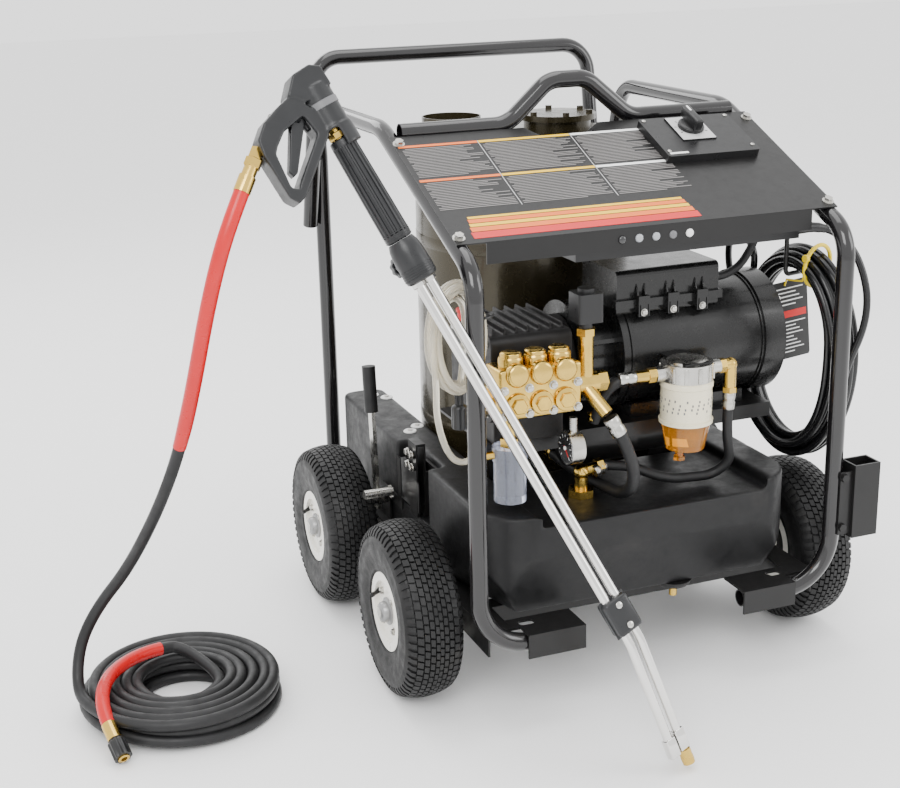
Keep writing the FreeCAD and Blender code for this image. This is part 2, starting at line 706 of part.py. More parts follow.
def pump_head():
    """Brass manifold with three valve caps on top, three plugs in front and end ports."""
    block = round_edges(box((HEAD_X[0], HEAD_Y[0], HEAD_Z[0]), (HEAD_X[1], HEAD_Y[1], HEAD_Z[1])), 6)
    middle = (HEAD_X[0] + HEAD_X[1]) / 2
    parts = []
    y_cap = HEAD_Y[0] + 24
    for i in (-1, 0, 1):
        x = middle + i * PLUNGER_PITCH
        parts.append(rod((x, y_cap, HEAD_Z[1] - 8), (x, y_cap, HEAD_Z[1] + 14), 16))
        parts.append(hexagon((x, y_cap, HEAD_Z[1] + 14), (0, 0, 1), 25, 12))
        parts.append(rod((x, HEAD_Y[0] + 6, HEAD_Z[0] + 22), (x, HEAD_Y[0] - 6, HEAD_Z[0] + 22), 15.5))
        parts.append(hexagon((x, HEAD_Y[0] - 6, HEAD_Z[0] + 22), (0, -1, 0), 22, 8))
    block = fuse(block, *parts)
    for x in plunger_xs():
        block = block.cut(rod((x, HEAD_Y[0] + 12, SHAFT_Z), (x, HEAD_Y[1] + 2, SHAFT_Z),
                              PLUNGER_R + FIT))
    return block


def unloader():
    """Unloader valve on the head's right end, with its sloping outlet for the gun hose."""
    x = HEAD_X[1]
    body = rod((x + 0.2, -294, 476), (x + 34, -294, 476), 15)
    cap = hexagon((x + 34, -294, 476), (1, 0, 0), 26, 14)
    post = rod((x + 18, -294, 470), (x + 18, -294, 546), 11)
    nut = hexagon((x + 18, -294, 545), (0, 0, 1), 24, 10)
    out = rod((x + 16, -300, 470), (x + 34, -330, 438), 10)
    return fuse(body, cap, post, nut, out)


def pressure_switch():
    x = HEAD_X[1] + 18
    base = rod((x, -294, 555.2), (x, -294, 566), 9)
    body = round_edges(box((x - 19, -313, 565), (x + 19, -275, 606)), 5, (0, 0, 1))
    dome = rod((x, -294, 605), (x, -294, 612), 12)
    return fuse(base, body, dome)


# ---------------------------------------------------------------- shelf, filter, small fittings
def machine_shelf():
    """Shelf under pump and motor, on two posts between tank and heater."""
    top = box((-222, -246, SHELF_Z - 4), (246, -62, SHELF_Z))
    flange = box((-222, -246, SHELF_Z - 22), (246, -243, SHELF_Z))
    posts = []
    for x in (-158, 118):
        posts.append(box((x, -104, RAIL_TOP - RAIL_T), (x + 40, -99, SHELF_Z - 3)))
        corners = [V(x + 18, -101, SHELF_Z - 4), V(x + 18, -214, SHELF_Z - 4),
                   V(x + 18, -101, SHELF_Z - 84), V(x + 18, -101, SHELF_Z - 4)]
        posts.append(Part.Face(Part.makePolygon(corners)).extrude(V(4, 0, 0)))
    return fuse(top, flange, *posts)


def filter_bracket():
    """Arm from the motor's shell that carries the filter head."""
    x, y = FILTER_AT
    plate = box((x - 20, y - 30, 488.2), (x + 20, SHAFT_Y - MOTOR_R + 10, 491.2))
    return plate.cut(rod((x - 30, SHAFT_Y, SHAFT_Z), (x + 30, SHAFT_Y, SHAFT_Z), MOTOR_R + 0.2))


def filter_head():
    x, y = FILTER_AT
    head = rod((x, y, 462), (x, y, 488), FILTER_R + 1)
    boss_l = rod((x - 52, y, 474), (x, y, 474), 11)
    boss_r = rod((x, y, 474), (x + 52, y, 474), 11)
    return fuse(head, boss_l, boss_r)


def filter_canister():
    x, y = FILTER_AT
    body = rod((x, y, 398), (x, y, 461.8), FILTER_R)
    lip = rod((x, y, 398), (x, y, 403), FILTER_R + 2)
    return fuse(body, lip)


def filter_bowl():
    x, y = FILTER_AT
    bowl = Part.makeCone(FILTER_R - 9, FILTER_R - 1, 40, V(x, y, 357.8), V(0, 0, 1))
    drain = rod((x - 9, y, 344), (x - 9, y, 358.5), 6)
    knob = hexagon((x - 9, y, 340), (0, 0, 1), 16, 5)
    return fuse(bowl, drain, knob)


def brass_fittings():
    """Elbows, tails and nuts between tank, filter, pump and hoses, as separate solids."""
    x, y = FILTER_AT
    left_tail = fuse(hexagon((x - 52.2, y, 474), (-1, 0, 0), 19, 12),
                     rod((x - 64, y, 474), (x - 84, y, 474), 9))
    right_elbow = fuse(hexagon((x + 52.2, y, 474), (1, 0, 0), 19, 10),
                       rod((x + 62, y, 474), (x + 72, y, 474), 9),
                       Part.makeSphere(10, V(x + 72, y, 474)),
                       rod((x + 72, y, 474), (x + 72, y, 440), 9),
                       hexagon((x + 72, y, 440), (0, 0, -1), 19, 8))
    tank_x, tank_y = -68.0, -238.0
    tank_elbow = fuse(hexagon((tank_x, tank_y, TANK_TRAY + 0.2), (0, 0, 1), 36, 12),
                      rod((tank_x, tank_y, TANK_TRAY + 12), (tank_x, tank_y, 318), 10),
                      Part.makeSphere(12, V(tank_x, tank_y, 320)),
                      rod((tank_x, tank_y, 320), (tank_x + 26, tank_y, 324), 9),
                      hexagon((tank_x + 24, tank_y, 323.7), (1, 0, 0.15), 22, 10))
    drain = fuse(hexagon((60, -290, RAIL_TOP), (0, 0, -1), 20, 10),
                 rod((60, -290, RAIL_TOP - 9), (60, -290, 122), 6))
    inlet = fuse(hexagon((-205, -290, 398), (0, 0, 1), 24, 12),
                 rod((-205, -290, 408), (-205, -290, HEAD_Z[0] - 0.2), 9))
    return [left_tail, right_elbow, tank_elbow, drain, inlet]


def strainer_bowl():
    """Clear inlet strainer under the pump head."""
    x, y = STRAINER_AT
    bowl = rod((x, y, 318), (x, y, 378), 23)
    cap = rod((x, y, 378), (x, y, 397.8), 25)
    return fuse(bowl, cap)


def pressure_gauge():
    x, y, z = -110.0, -296.0, 384.0
    case = rod((x - 9, y, z), (x + 9, y, z), 24)
    stem = rod((x, y, z + 20), (x, y, z + 44), 6)
    return fuse(case, stem)


def hoses():
    """Hoses and the motor lead that are held at both ends."""
    x, y = FILTER_AT
    feed = sweep([(x + 72, y, 431.5), (x + 72, y + 4, 372), (x + 88, y + 16, 318), (x + 66, y + 30, 294),
                  (x - 8, y + 36, 296), (x - 60, y + 50, 320), (-31.5, -238, 325.6)],
                 None, 7.5, "fuel feed")
    back = sweep([(x - 84.3, y, 474), (x - 100, y, 474), (x - 118, y + 6, 464), (x - 130, y + 18, 440),
                  (x - 132, y + 30, 406)], None, 7.5, "fuel return")
    ux = HEAD_X[1] + 34
    delivery = sweep([(ux + 2.5, -334, 433.5), (ux + 20, -342, 400), (ux + 38, -340, 356),
                      (ux + 46, -322, 318), (ux + 46, -288, 297), (ux + 40, -240, 294.5),
                      (ux + 34, -190, 294), (ux + 32, -140, 294.5), (ux + 32, -92, 296),
                      (ux + 33, -45, 299)], None, 9, "pump delivery")
    lead = sweep([(158.3, -205, 582), (184, -205, 582), (214, -201, 594), (234, -200, 622),
                  (238, -210, 650), (236, -230, 662)], None, 6, "motor lead")
    return [feed, back, delivery, lead]


# ---------------------------------------------------------------- control panel
def control_panel():
    """Folded sheet: sloped face, front lip with light windows, low side lips."""
    half = SIDE_X + PANEL_OVERHANG
    sheet = panel_block(-half, half, 0, PANEL_LENGTH, -SHEET, 0)
    notch_low, notch_high = 250.0, PANEL_LENGTH + 2
    notch_points = [on_panel(-84, notch_high, -9), on_panel(-66, notch_low, -9),
                    on_panel(8, notch_low, -9), on_panel(40, notch_high, -9),
                    on_panel(-84, notch_high, -9)]
    notch = Part.Face(Part.makePolygon(notch_points)).extrude(PANEL_OUT * 20)
    sheet = sheet.cut(notch)
    fy, fz = PANEL_FRONT
    lip = box((-LIP_HALF, fy, fz - LIP_DROP), (LIP_HALF, fy + SHEET, fz - 0.5))
    for i in range(-2, 3):
        lip = lip.cut(rod((i * LIGHT_PITCH, fy - 5, fz - 16), (i * LIGHT_PITCH, fy + 5, fz - 16),
                          LIGHT_R))
    fold = rod((-LIP_HALF, fy + SHEET, fz - SHEET), (LIP_HALF, fy + SHEET, fz - SHEET), SHEET)
    return fuse(sheet, lip, fold)


def light_box():
    """Electrical box behind the lip, with the cord glands in its floor."""
    fy, fz = PANEL_FRONT
    body = box((-110, fy + 24, fz - 46), (246, fy + 92, fz - 6))
    top = panel_block(-300, 300, -40, 300, -SHEET - 0.4, 60)
    body = body.cut(top)
    gland = rod((240, fy + 44, fz - 36), (256.8, fy + 44, fz - 36), 9)
    return fuse(body, gland)


def status_lights():
    fy, fz = PANEL_FRONT
    lenses = []
    for i in range(-2, 3):
        x = i * LIGHT_PITCH
        lens = rod((x, fy - 1.5, fz - 16), (x, fy + 23.8, fz - 16), LIGHT_R - 0.2)
        lenses.append(lens)
    return lenses


def switch_plate():
    """Raised black housing of the rotary switch, with its square escutcheon."""
    plate = panel_block(92, 245, 146, 254, 0.1, 12)
    plate = plate.makeFillet(5, [e for e in plate.Edges if abs(e.Length - 11.9) < 0.2])
    shield = panel_block(134, 190, 184, 248, 12, 14)
    body = fuse(plate, shield)
    hole_base, hole_top = on_panel(162, 216, -2), on_panel(162, 216, 20)
    return body.cut(rod(hole_base, hole_top, 6))


def switch_knob():
    """Rotary switch handle: a round boss with a raised grip."""
    shaft = rod(on_panel(162, 216, 2), on_panel(162, 216, 17), 6 - BEARING_RUNNING)
    boss = rod(on_panel(162, 216, 14.4), on_panel(162, 216, 22), 19)
    grip = panel_block(156, 168, 196, 240, 21, 38)
    return fuse(shaft, boss, grip)


def panel_screws():
    """Washers and hexagon heads at the panel's corners, on the tank and the brake bracket."""
    found = []
    for x in (-SIDE_X, SIDE_X):
        for along in (14.0, PANEL_LENGTH - 20):
            washer = rod(on_panel(x, along, 0.05), on_panel(x, along, 1.6), 8.5)
            head = hexagon(on_panel(x, along, 1.6), PANEL_OUT, 11, 5)
            found.append(fuse(washer, head))
    for x, y in ((-205, 312), (-187, 288), (-193, 118), (-213, 98)):
        washer = rod((x, y, TANK_TOP + 0.05), (x, y, TANK_TOP + 1.8), 9.5)
        found.append(fuse(washer, rod((x, y, TANK_TOP + 1.8), (x, y, TANK_TOP + 4), 4)))
    return found


# ---------------------------------------------------------------- brake
def brake_bracket():
    """Plate in the tank's recess with the two cheeks that hold the lever's pin."""
    back = -TANK_HALF + NOTCH_DEPTH - 0.3
    foot = box((-RAIL_X + 0.5, 96, RAIL_TOP + 0.2), (-TANK_HALF - 1.0, 124, RAIL_TOP + 3))
    cheek = box((-TANK_HALF - 4, 92, RAIL_TOP + 0.2), (-TANK_HALF - 1.0, 128, 210))
    pin = rod((-TANK_HALF - 2, BRAKE_PIVOT[0], BRAKE_PIVOT[1]),
              (BRAKE_X - 7, BRAKE_PIVOT[0], BRAKE_PIVOT[1]), BRAKE_PIN_R)
    head = hexagon((BRAKE_X - 7, BRAKE_PIVOT[0], BRAKE_PIVOT[1]), (-1, 0, 0), 17, 4)
    arm = box((-TANK_HALF - 4, 40, 192), (-TANK_HALF - 1.0, 128, 210))
    plate = box((back - 5, NOTCH_Y[0] + 6, NOTCH_FLOOR + 0.3), (back, NOTCH_Y[1] - 4, TANK_TOP - 8))
    link = box((-TANK_HALF - 4, NOTCH_Y[1] - 24, NOTCH_FLOOR + 1), (back - 4, NOTCH_Y[1] - 20, TANK_TOP - 20))
    wall = box((-TANK_HALF - 4, NOTCH_Y[1] - 24, NOTCH_FLOOR - 12), (-TANK_HALF - 1.0, NOTCH_Y[1] - 8, TANK_TOP - 20))
    tower = box((-TANK_HALF - 4, -40, NOTCH_FLOOR + 1), (-TANK_HALF + 12, -6, TANK_TOP + 26))
    tower = tower.cut(box((-TANK_HALF - 1, -44, NOTCH_FLOOR - 5), (-TANK_HALF + 9, -2, TANK_TOP + 22)))
    rib = box((-TANK_HALF + 10, -40, NOTCH_FLOOR + 1), (back - 4, -36, TANK_TOP - 20))
    bolts = []
    for y in (-32, -14):
        for z in (TANK_TOP - 12, TANK_TOP + 8):
                bolts.append(hexagon((-TANK_HALF - 3.5, y, z), (-1, 0, 0), 11, 4))
    return fuse(foot, cheek, pin, head, arm, plate, link, wall, tower, rib, *bolts)


def brake_lever():
    """Flat lever on its pin, with the cross bar that presses on the rear tyre."""
    y, z = BRAKE_PIVOT
    eye = rod((BRAKE_X - 3, y, z), (BRAKE_X + 3, y, z), 15)
    bar = box((BRAKE_X - 3, y - 9, z), (BRAKE_X + 3, y + 9, z + 215))
    lever = fuse(eye, bar)
    lever.rotate(V(BRAKE_X, y, z), V(1, 0, 0), -5)
    arm_end = (y - 70, z + 40)
    reach = math.hypot(70, 40)
    arm = box((BRAKE_X - 3, y - reach, z - 10), (BRAKE_X + 3, y, z + 10))
    arm.rotate(V(BRAKE_X, y, z), V(1, 0, 0), -math.degrees(math.atan2(40, 70)))
    bar_y, bar_z = arm_end
    cross = rod((BRAKE_X + 3, bar_y, bar_z), (-WHEEL_X + 12, bar_y, bar_z), 7.5)
    lever = fuse(lever, arm, cross)
    return lever.cut(rod((BRAKE_X - 20, y, z), (BRAKE_X + 20, y, z), BRAKE_PIN_R + BEARING_RUNNING))


def brake_grip():
    y, z = BRAKE_PIVOT
    grip = rod((BRAKE_X, y, z + 150), (BRAKE_X, y, z + 226), 11)
    grip = grip.cut(box((BRAKE_X - 3, y - 9, z + 140), (BRAKE_X + 3, y + 9, z + 215)))
    grip.rotate(V(BRAKE_X, y, z), V(1, 0, 0), -5)
    return grip


# ---------------------------------------------------------------- brackets on the right side tube
def lance_holder():
    """Open pocket and strap on the right upright, where the lance is stowed."""
    x0 = SIDE_X + TUBE_D / 2 + 10
    y0, y1 = FRONT_Y - 22, FRONT_Y + 14
    x1 = x0 + POCKET_WIDTH
    wall = POCKET_WALL
    pocket = box((x0, y0, POCKET_Z[0]), (x1, y1, POCKET_Z[1]))
    room = box((x0 + wall, y0 + wall, POCKET_Z[0] + wall), (x1 - wall, y1 - wall, POCKET_Z[1] + 6))
    pocket = pocket.cut(room)
    strap_y = FRONT_Y - TUBE_D / 2 - 0.2
    strap = box((SIDE_X + 2, strap_y - 3, POCKET_Z[0] + 6), (x0 + 1, strap_y, POCKET_Z[1] - 10))
    bolts = [hexagon((SIDE_X + 8, strap_y - 3, z), (0, -1, 0), 11, 5) for z in (224, 302)]
    return fuse(pocket, strap, *bolts)


def hook_tip():
    """The low point of the cord hook, inside the top of the power cord's hank."""
    return HANK_AT + V(0, 0, HANK_HALF[1] - HANK_BAND - 5)


def cord_hook():
    """Bent rod welded under the right side tube, that the power cord hangs from."""
    tip = hook_tip()
    side = hank_axes()[1]
    y = tip.y
    tube_z = TOP_Z - (tube_rise_y() - y) * math.tan(SLOPE)
    start = V(SIDE_X, y, tube_z - TUBE_D / 2 / math.cos(SLOPE) - 1.6)
    inner = HANK_THICK / 2 + 9
    low_in = tip - side * inner
    low_out = tip + side * inner
    points = [tuple(start), tuple(V(low_in.x, low_in.y, start.z - 26)), tuple(low_in),
              tuple(low_out), tuple(low_out + V(0, 0, 30))]
    return sweep(points, [6, 8, 8], 3.5)


# ---------------------------------------------------------------- lance and gun
def lean_point():
    """Where the lance's centre line passes the left front upright."""
    return V(-SIDE_X - LEAN_SIDE, FRONT_Y - TUBE_D / 2 - LANCE_PIPE_R - 3.5, LEAN_Z)


LANCE_DIR = lean_point() - LANCE_BEND
LANCE_DIR.normalize()
LOWER_DIR = LANCE_BEND - LANCE_TIP
LOWER_DIR.normalize()
# the gun's own plane holds the lance and a direction towards the cart's left
GUN_SIDE = V(-1.0, -0.18, -0.3)
GUN_SIDE = GUN_SIDE - LANCE_DIR * GUN_SIDE.dot(LANCE_DIR)
GUN_SIDE.normalize()
GUN_NORMAL = LANCE_DIR.cross(GUN_SIDE)


def on_lance(along, aside=0.0, off=0.0):
    """A point in the gun's frame, along the lance from its bend."""
    return LANCE_BEND + LANCE_DIR * along + GUN_SIDE * aside + GUN_NORMAL * off


def gun_prism(outline, thick):
    """A flat gun part from an outline of (along, aside) points counted from the outlet."""
    points = [on_lance(GUN_START + a, b, -thick / 2) for a, b in outline]
    points.append(points[0])
    return Part.Face(Part.makePolygon(points)).extrude(GUN_NORMAL * thick)


def pipe_side(sign):
    return GUN_SIDE * (sign * LANCE_GAP / 2)


def lance_pipes():
    """High and low pressure pipes side by side, both bent a little below the clamp."""
    pipes = []
    for sign, short in ((-1, 0.0), (1, 4.0)):
        start = LANCE_TIP + LOWER_DIR * (16 + short) + pipe_side(sign)
        end = on_lance(VALVE_START + 6) + pipe_side(sign)
        pipes.append(sweep([tuple(start), tuple(LANCE_BEND + pipe_side(sign)), tuple(end)],
                           [90], LANCE_PIPE_R))
    return pipes


def lance_clamp():
    """Plastic block that holds the two pipes together."""
    low, high = on_lance(14), on_lance(64)
    thick = 26.0
    width = LANCE_GAP + 2 * LANCE_PIPE_R + 8
    corner = low - GUN_SIDE * (width / 2) - GUN_NORMAL * (thick / 2)
    side = GUN_SIDE * width
    face = Part.Face(Part.makePolygon([corner, corner + side, corner + side + GUN_NORMAL * thick,
                                       corner + GUN_NORMAL * thick, corner]))
    block = face.extrude(high - low)
    for sign in (-1, 1):
        block = block.cut(rod(low - LANCE_DIR * 5 + pipe_side(sign),
                              high + LANCE_DIR * 5 + pipe_side(sign), LANCE_PIPE_R + 0.1))
    return block


def lance_valve():
    """Body under the grip that joins the two pipes, with its side boss."""
    low, high = on_lance(VALVE_START), on_lance(GRIP_START - 0.3)
    body = rod(low, high, 22)
    for sign in (-1, 1):
        body = body.cut(rod(low - LANCE_DIR + pipe_side(sign),
                            low + LANCE_DIR * 6.2 + pipe_side(sign), LANCE_PIPE_R + 0.1))
    boss = rod(on_lance(VALVE_START + 28, 0, -10), on_lance(VALVE_START + 28, 0, -30), 13)
    return fuse(body, boss)


def lance_grip():
    return rod(on_lance(GRIP_START), on_lance(GRIP_END), 18)


def valve_knob():
    """Turning handle that shifts the flow between the two pipes."""
    low = on_lance(VALVE_START + 28, 0, -30.4)
    high = on_lance(VALVE_START + 28, 0, -44)
    return rod(low, high, 16)


def gun_body():
    """Barrel, rear handle and trigger guard as one moulding, with the trigger's pin."""
    barrel = rod(on_lance(GUN_START + 2.2), on_lance(GUN_START + 62), 22)
    shroud = ring(on_lance(GUN_START - 24), on_lance(GUN_START + 5), 24, 20.5)
    open_side = gun_prism([(-30, 4), (2, 4), (2, 40), (-30, 40)], 60)
    shroud = shroud.cut(open_side)
    crown = gun_prism([(52, -20), (86, -19), (98, -6), (95, 20), (66, 40), (46, 20)], 38)
    frame = gun_prism([(66, 34), (49, 84), (34, 110), (14, 116), (-46, 114), (-58, 102),
                       (-54, 84), (-2, 16), (20, 10)], 32)
    gap = gun_prism([(34, 34), (28, 66), (8, 94), (-36, 101), (-42, 90), (6, 30)], 40)
    pin = on_lance(GUN_START + TRIGGER_PIN[0], TRIGGER_PIN[1])
    pocket = gun_prism([(45, 26), (45, 54), (30, 60), (16, 56), (16, 26)], 15.2)
    seat = rod(inlet_base(), inlet_base() + inlet_dir() * 40, 9.1)
    body = fuse(barrel, shroud, crown, frame.cut(gap)).cut(pocket).cut(seat)
    cross = rod(pin - GUN_NORMAL * 10, pin + GUN_NORMAL * 10, TRIGGER_PIN_R)
    return fuse(body, cross)


def gun_trigger():
    """Trigger blade on its pin, inside the guard."""
    blade = gun_prism([(40, 36), (28, 32), (-24, 76), (-26, 83), (-18, 85), (34, 50)], 14)
    pin = on_lance(GUN_START + TRIGGER_PIN[0], TRIGGER_PIN[1])
    eye = rod(pin - GUN_NORMAL * 7, pin + GUN_NORMAL * 7, 9)
    hole = rod(pin - GUN_NORMAL * 9, pin + GUN_NORMAL * 9, TRIGGER_PIN_R + BEARING_RUNNING)
    room = rod(pin - GUN_NORMAL * 9, pin + GUN_NORMAL * 9, 9)
    corner = gun_prism([(60, 10), (60, 60), (34, 60), (34, 10)], 40)
    return fuse(blade.cut(corner.cut(room)), eye).cut(hole)


def inlet_dir():
    """Which way the hose leaves the gun."""
    out = GUN_SIDE * 0.8 - LANCE_DIR * 0.6
    out.normalize()
    return out


def inlet_base():
    return on_lance(GUN_START + 18, 112)


def gun_fittings():
    """Brass pieces of gun and lance: outlet, inlet swivel and spray nozzle."""
    outlet = rod(on_lance(GRIP_END + 0.2), on_lance(GUN_START + 2), 9.5)
    inlet = rod(inlet_base() + inlet_dir() * 4, inlet_base() + inlet_dir() * 26, 9)
    nozzle_top = LANCE_TIP + LOWER_DIR * 15.8 + pipe_side(-1)
    nozzle = rod(nozzle_top, nozzle_top - LOWER_DIR * 22, 8.5)
    return [outlet, inlet, nozzle]


# ---------------------------------------------------------------- free hoses and cords
def gun_hose_route():
    """From the gun's inlet down to the coil on the floor."""
    exit_at = inlet_base() + inlet_dir() * 26.2
    return [
        tuple(exit_at),
        tuple(exit_at + inlet_dir() * 52),
        (-604, -322, 706), (-619, -296, 630), (-631, -266, 548), (-643, -234, 472),
        (-658, -196, 396), (-684, -150, 310), (-716, -92, 222), (-752, -60, 165),
        (-780, -56, 119), (-794, -66, 80), (-799, -90, 46),
    ]


def coil_tail_route():
    """The hose's free end, over the coil and down to the floor in front of it."""
    return [
        (-636, -33, 57), (-668, -38, 64), (-704, -52, 67), (-736, -75, 67),
        (-760, -107, 66), (-774, -145, 62), (-776, -183, 46), (-769, -215, 28),
    ]


def hose_coil():
    """The outer shape of the coiled hose."""
    x, y = COIL_AT
    coil = ring((x, y, 0), (x, y, COIL_HEIGHT), COIL_OUTER, COIL_INNER)
    rims = [e for e in coil.Edges if e.Curve.TypeId == "Part::GeomCircle"]
    return coil.makeFillet(14, rims)


def hose_connector():
    """Screw coupling on the hose's free end."""
    end, before = V(*coil_tail_route()[-1]), V(*coil_tail_route()[-2])
    out = end - before
    out.normalize()
    start = end + out * 0.2
    return fuse(rod(start, start + out * 12, 10), rod(start + out * 11, start + out * 34, 13))


def hank_axes():
    """Across the hank, out of its plane, and up."""
    turn = math.radians(HANK_TURN)
    across = V(math.sin(turn), -math.cos(turn), 0)
    side = V(math.cos(turn), math.sin(turn), 0)
    return across, side, V(0, 0, 1)


def oval_ring(centre, across, side, half, band, thick):
    """A flat oval ring of bundled cord, rounded at its edges."""
    solids = []
    for trim in (0.0, band):
        wide, tall = half[0] - trim, half[1] - trim
        oval = Part.Ellipse(V(0, 0, 0), max(wide, tall), min(wide, tall)).toShape()
        matrix = FreeCAD.Matrix()
        matrix.A11, matrix.A21, matrix.A31 = 0.0, 0.0, 1.0
        matrix.A12, matrix.A22, matrix.A32 = across.x, across.y, across.z
        matrix.A13, matrix.A23, matrix.A33 = side.x, side.y, side.z
        matrix.A14, matrix.A24, matrix.A34 = centre.x, centre.y, centre.z
        placed = oval.copy()
        placed.Placement = FreeCAD.Placement(matrix)
        face = Part.Face(Part.Wire([placed]))
        face.translate(side * (-thick / 2))
        solids.append(face.extrude(side * thick))
    return solids[0].cut(solids[1])


def power_cord_hank():
    across, side, _ = hank_axes()
    return oval_ring(HANK_AT, across, side, HANK_HALF, HANK_BAND, HANK_THICK)


def power_cord_route():
    """From the gland under the panel, out past the side tube and down into the hank."""
    fy, fz = PANEL_FRONT
    return [
        (257, fy + 44, fz - 36), (288, fy + 44, fz - 36), (320, fy + 38, fz - 47),
        (344, fy + 28, fz - 72), (356, fy + 17, fz - 106), (360, fy + 7, fz - 146),
        (357, fy + 4, fz - 192), (350, fy + 7, fz - 235), (342, fy + 13, fz - 272),
    ]


def power_plug():
    """Plug hanging on its last length of cord behind the hank."""
    across, side, up = hank_axes()
    top = HANK_AT - across * (HANK_HALF[0] + 21) + up * 30
    body = rod(top, top - up * 46, 17)
    neck = rod(top, top + up * 22, 8)
    pins = []
    for shift in (-6.5, 6.5):
        base = top - up * 45 + side * shift
        pins.append(rod(base, base - up * 21, 2.5))
    stay = rod(top + up * 20, top + up * 20 + across * 24, CORD_D / 2)
    return fuse(body, neck, stay, *pins)


def cord_tag():
    """Label hung inside the hank, and the tie that gathers the hank's top."""
    across, side, up = hank_axes()
    x, y = HANK_AT.x - 16, HANK_AT.y + 4
    plate = box((x - 40, y, 434), (x + 40, y + 1.2, 560))
    top_band = oval_ring(HANK_AT, across, side, (HANK_HALF[0] + 2, HANK_HALF[1] + 2),
                         HANK_BAND + 4, HANK_THICK + 4)
    inside = oval_ring(HANK_AT, across, side, (HANK_HALF[0] + 0.2, HANK_HALF[1] + 0.2),
                       HANK_BAND + 0.4, HANK_THICK + 0.4)
    corner = HANK_AT + across * 34 - side * 60 + up * 60
    face = Part.Face(Part.makePolygon([corner, corner + across * 9, corner + across * 9 + side * 120,
                                       corner + side * 120, corner]))
    tie = top_band.cut(inside).common(face.extrude(up * 200))
    return [plate, tie]


def clear_hank():
    return oval_ring(CLEAR_AT, V(1, 0, 0), V(0, 1, 0), CLEAR_HALF, CLEAR_BAND, CLEAR_THICK)


def clear_route():
    """From the strainer's inlet out to the left, and up into the clear hose's hank."""
    return [
        (-244.4, -290, 388), (-262, -290, 386), (-280, -296, 386), (-296, -306, 397),
        (-310, -315, 418), (-320, -321, 446), (-325, -323, 475), (-324, -323, 503),
    ]


def siphon_strainer():
    """Weighted strainer at the clear hose's far end, hanging under its hank."""
    x, y = CLEAR_AT.x, CLEAR_AT.y
    top = CLEAR_AT.z - CLEAR_HALF[1] + 0.5
    return fuse(rod((x, y, top - 14), (x, y, top), 5), rod((x, y, top - 44), (x, y, top - 13), 11))


def clear_hose_barb():
    """Barb on the strainer's side that the clear hose is pushed on to."""
    x, y = STRAINER_AT
    return rod((x - 25.2, y, 388), (x - 38.8, y, 388), 6)


def build():
    left = side_tube()
    keep("side_tube_left", left)
    keep("side_tube_right", mirror_x(left))
    keep("push_handle", push_handle())
    keep("lift_arch", lift_arch())
    keep("base_frame", base_rail(-1), base_rail(1), cross_member(-268), cross_member(HEATER_Y - 128),
         cross_member(HEATER_Y + 102), foot_bracket(-1), foot_bracket(1))
    keep("axles", axle(AXLE_FRONT_Y), axle(AXLE_REAR_Y))
    keep("tank", tank())
    keep("fuel_cap", fuel_cap())
    keep("heater_shell", heater_shell(), heater_coil())
    keep("heater_lid", heater_lid())
    keep("burner_housing", burner_housing())
    keep("blower_wheel", blower_wheel())
    keep("motor_body", motor_body(), motor_stator())
    keep("motor_rotor", motor_rotor())
    keep("motor_cover", motor_cover())
    keep("pump_crankcase", pump_crankcase(), *pump_plungers())
    keep("pump_crankshaft", pump_crankshaft())
    keep("pump_head", pump_head())
    keep("pressure_switch", pressure_switch())
    keep("machine_shelf", machine_shelf(), filter_bracket())
    keep("filter_head", filter_head())
    keep("filter_canister", filter_canister())
    keep("filter_bowl", filter_bowl())
    keep("brass_fittings", unloader(), *brass_fittings(),
         *gun_fittings(), clear_hose_barb())
    keep("strainer_bowl", strainer_bowl())
    keep("pressure_gauge", pressure_gauge())
    keep("hoses", *hoses())
    keep("control_panel", control_panel())
    keep("status_lights", *status_lights())
    keep("switch_housings", switch_plate(), light_box())
    keep("switch_knob", switch_knob())
    keep("fasteners", *panel_screws())
    keep("brake_bracket", brake_bracket())
    keep("brake_lever", brake_lever())
    keep("brake_grip", brake_grip())
    keep("side_brackets", lance_holder(), cord_hook())
    keep("lance_pipes", *lance_pipes())
    keep("lance_mouldings", lance_clamp(), lance_valve(), lance_grip())
    keep("valve_knob", valve_knob())
    keep("gun_body", gun_body())
    keep("gun_trigger", gun_trigger())
    for place, side, y in (("front_left", -1, AXLE_FRONT_Y), ("front_right", 1, AXLE_FRONT_Y),
                           ("rear_left", -1, AXLE_REAR_Y), ("rear_right", 1, AXLE_REAR_Y)):
        keep("tyre_" + place, tyre(side, y))
        keep("rim_" + place, rim(side, y))
    keep("hose_run", sweep(gun_hose_route(), None, HOSE_D / 2, "gun hose"))
    keep("hose_coil", hose_coil())
    keep("hose_tail", sweep(coil_tail_route(), None, HOSE_D / 2, "coil tail"))
    keep("hose_connector", hose_connector())
    keep("power_cord_run", sweep(power_cord_route(), None, CORD_D / 2, "power cord"))
    keep("power_cord_hank", power_cord_hank())
    keep("power_plug", power_plug())
    keep("cord_tag", *cord_tag())
    keep("clear_tube_run", sweep(clear_route(), None, CLEAR_D / 2, "clear hose"))
    keep("clear_tube_hank", clear_hank())
    keep("siphon_strainer", siphon_strainer())


build()
os.makedirs("parts", exist_ok=True)
for name, shape in NODES.items():
    shape.translate(STAND)
    shape.exportStep("parts/%s.step" % name)
    bb = shape.BoundBox
    print("%-18s %2d solids valid=%s x %.0f..%.0f y %.0f..%.0f z %.0f..%.0f" % (
        name, len(shape.Solids), shape.isValid(), bb.XMin, bb.XMax, bb.YMin, bb.YMax, bb.ZMin, bb.ZMax))
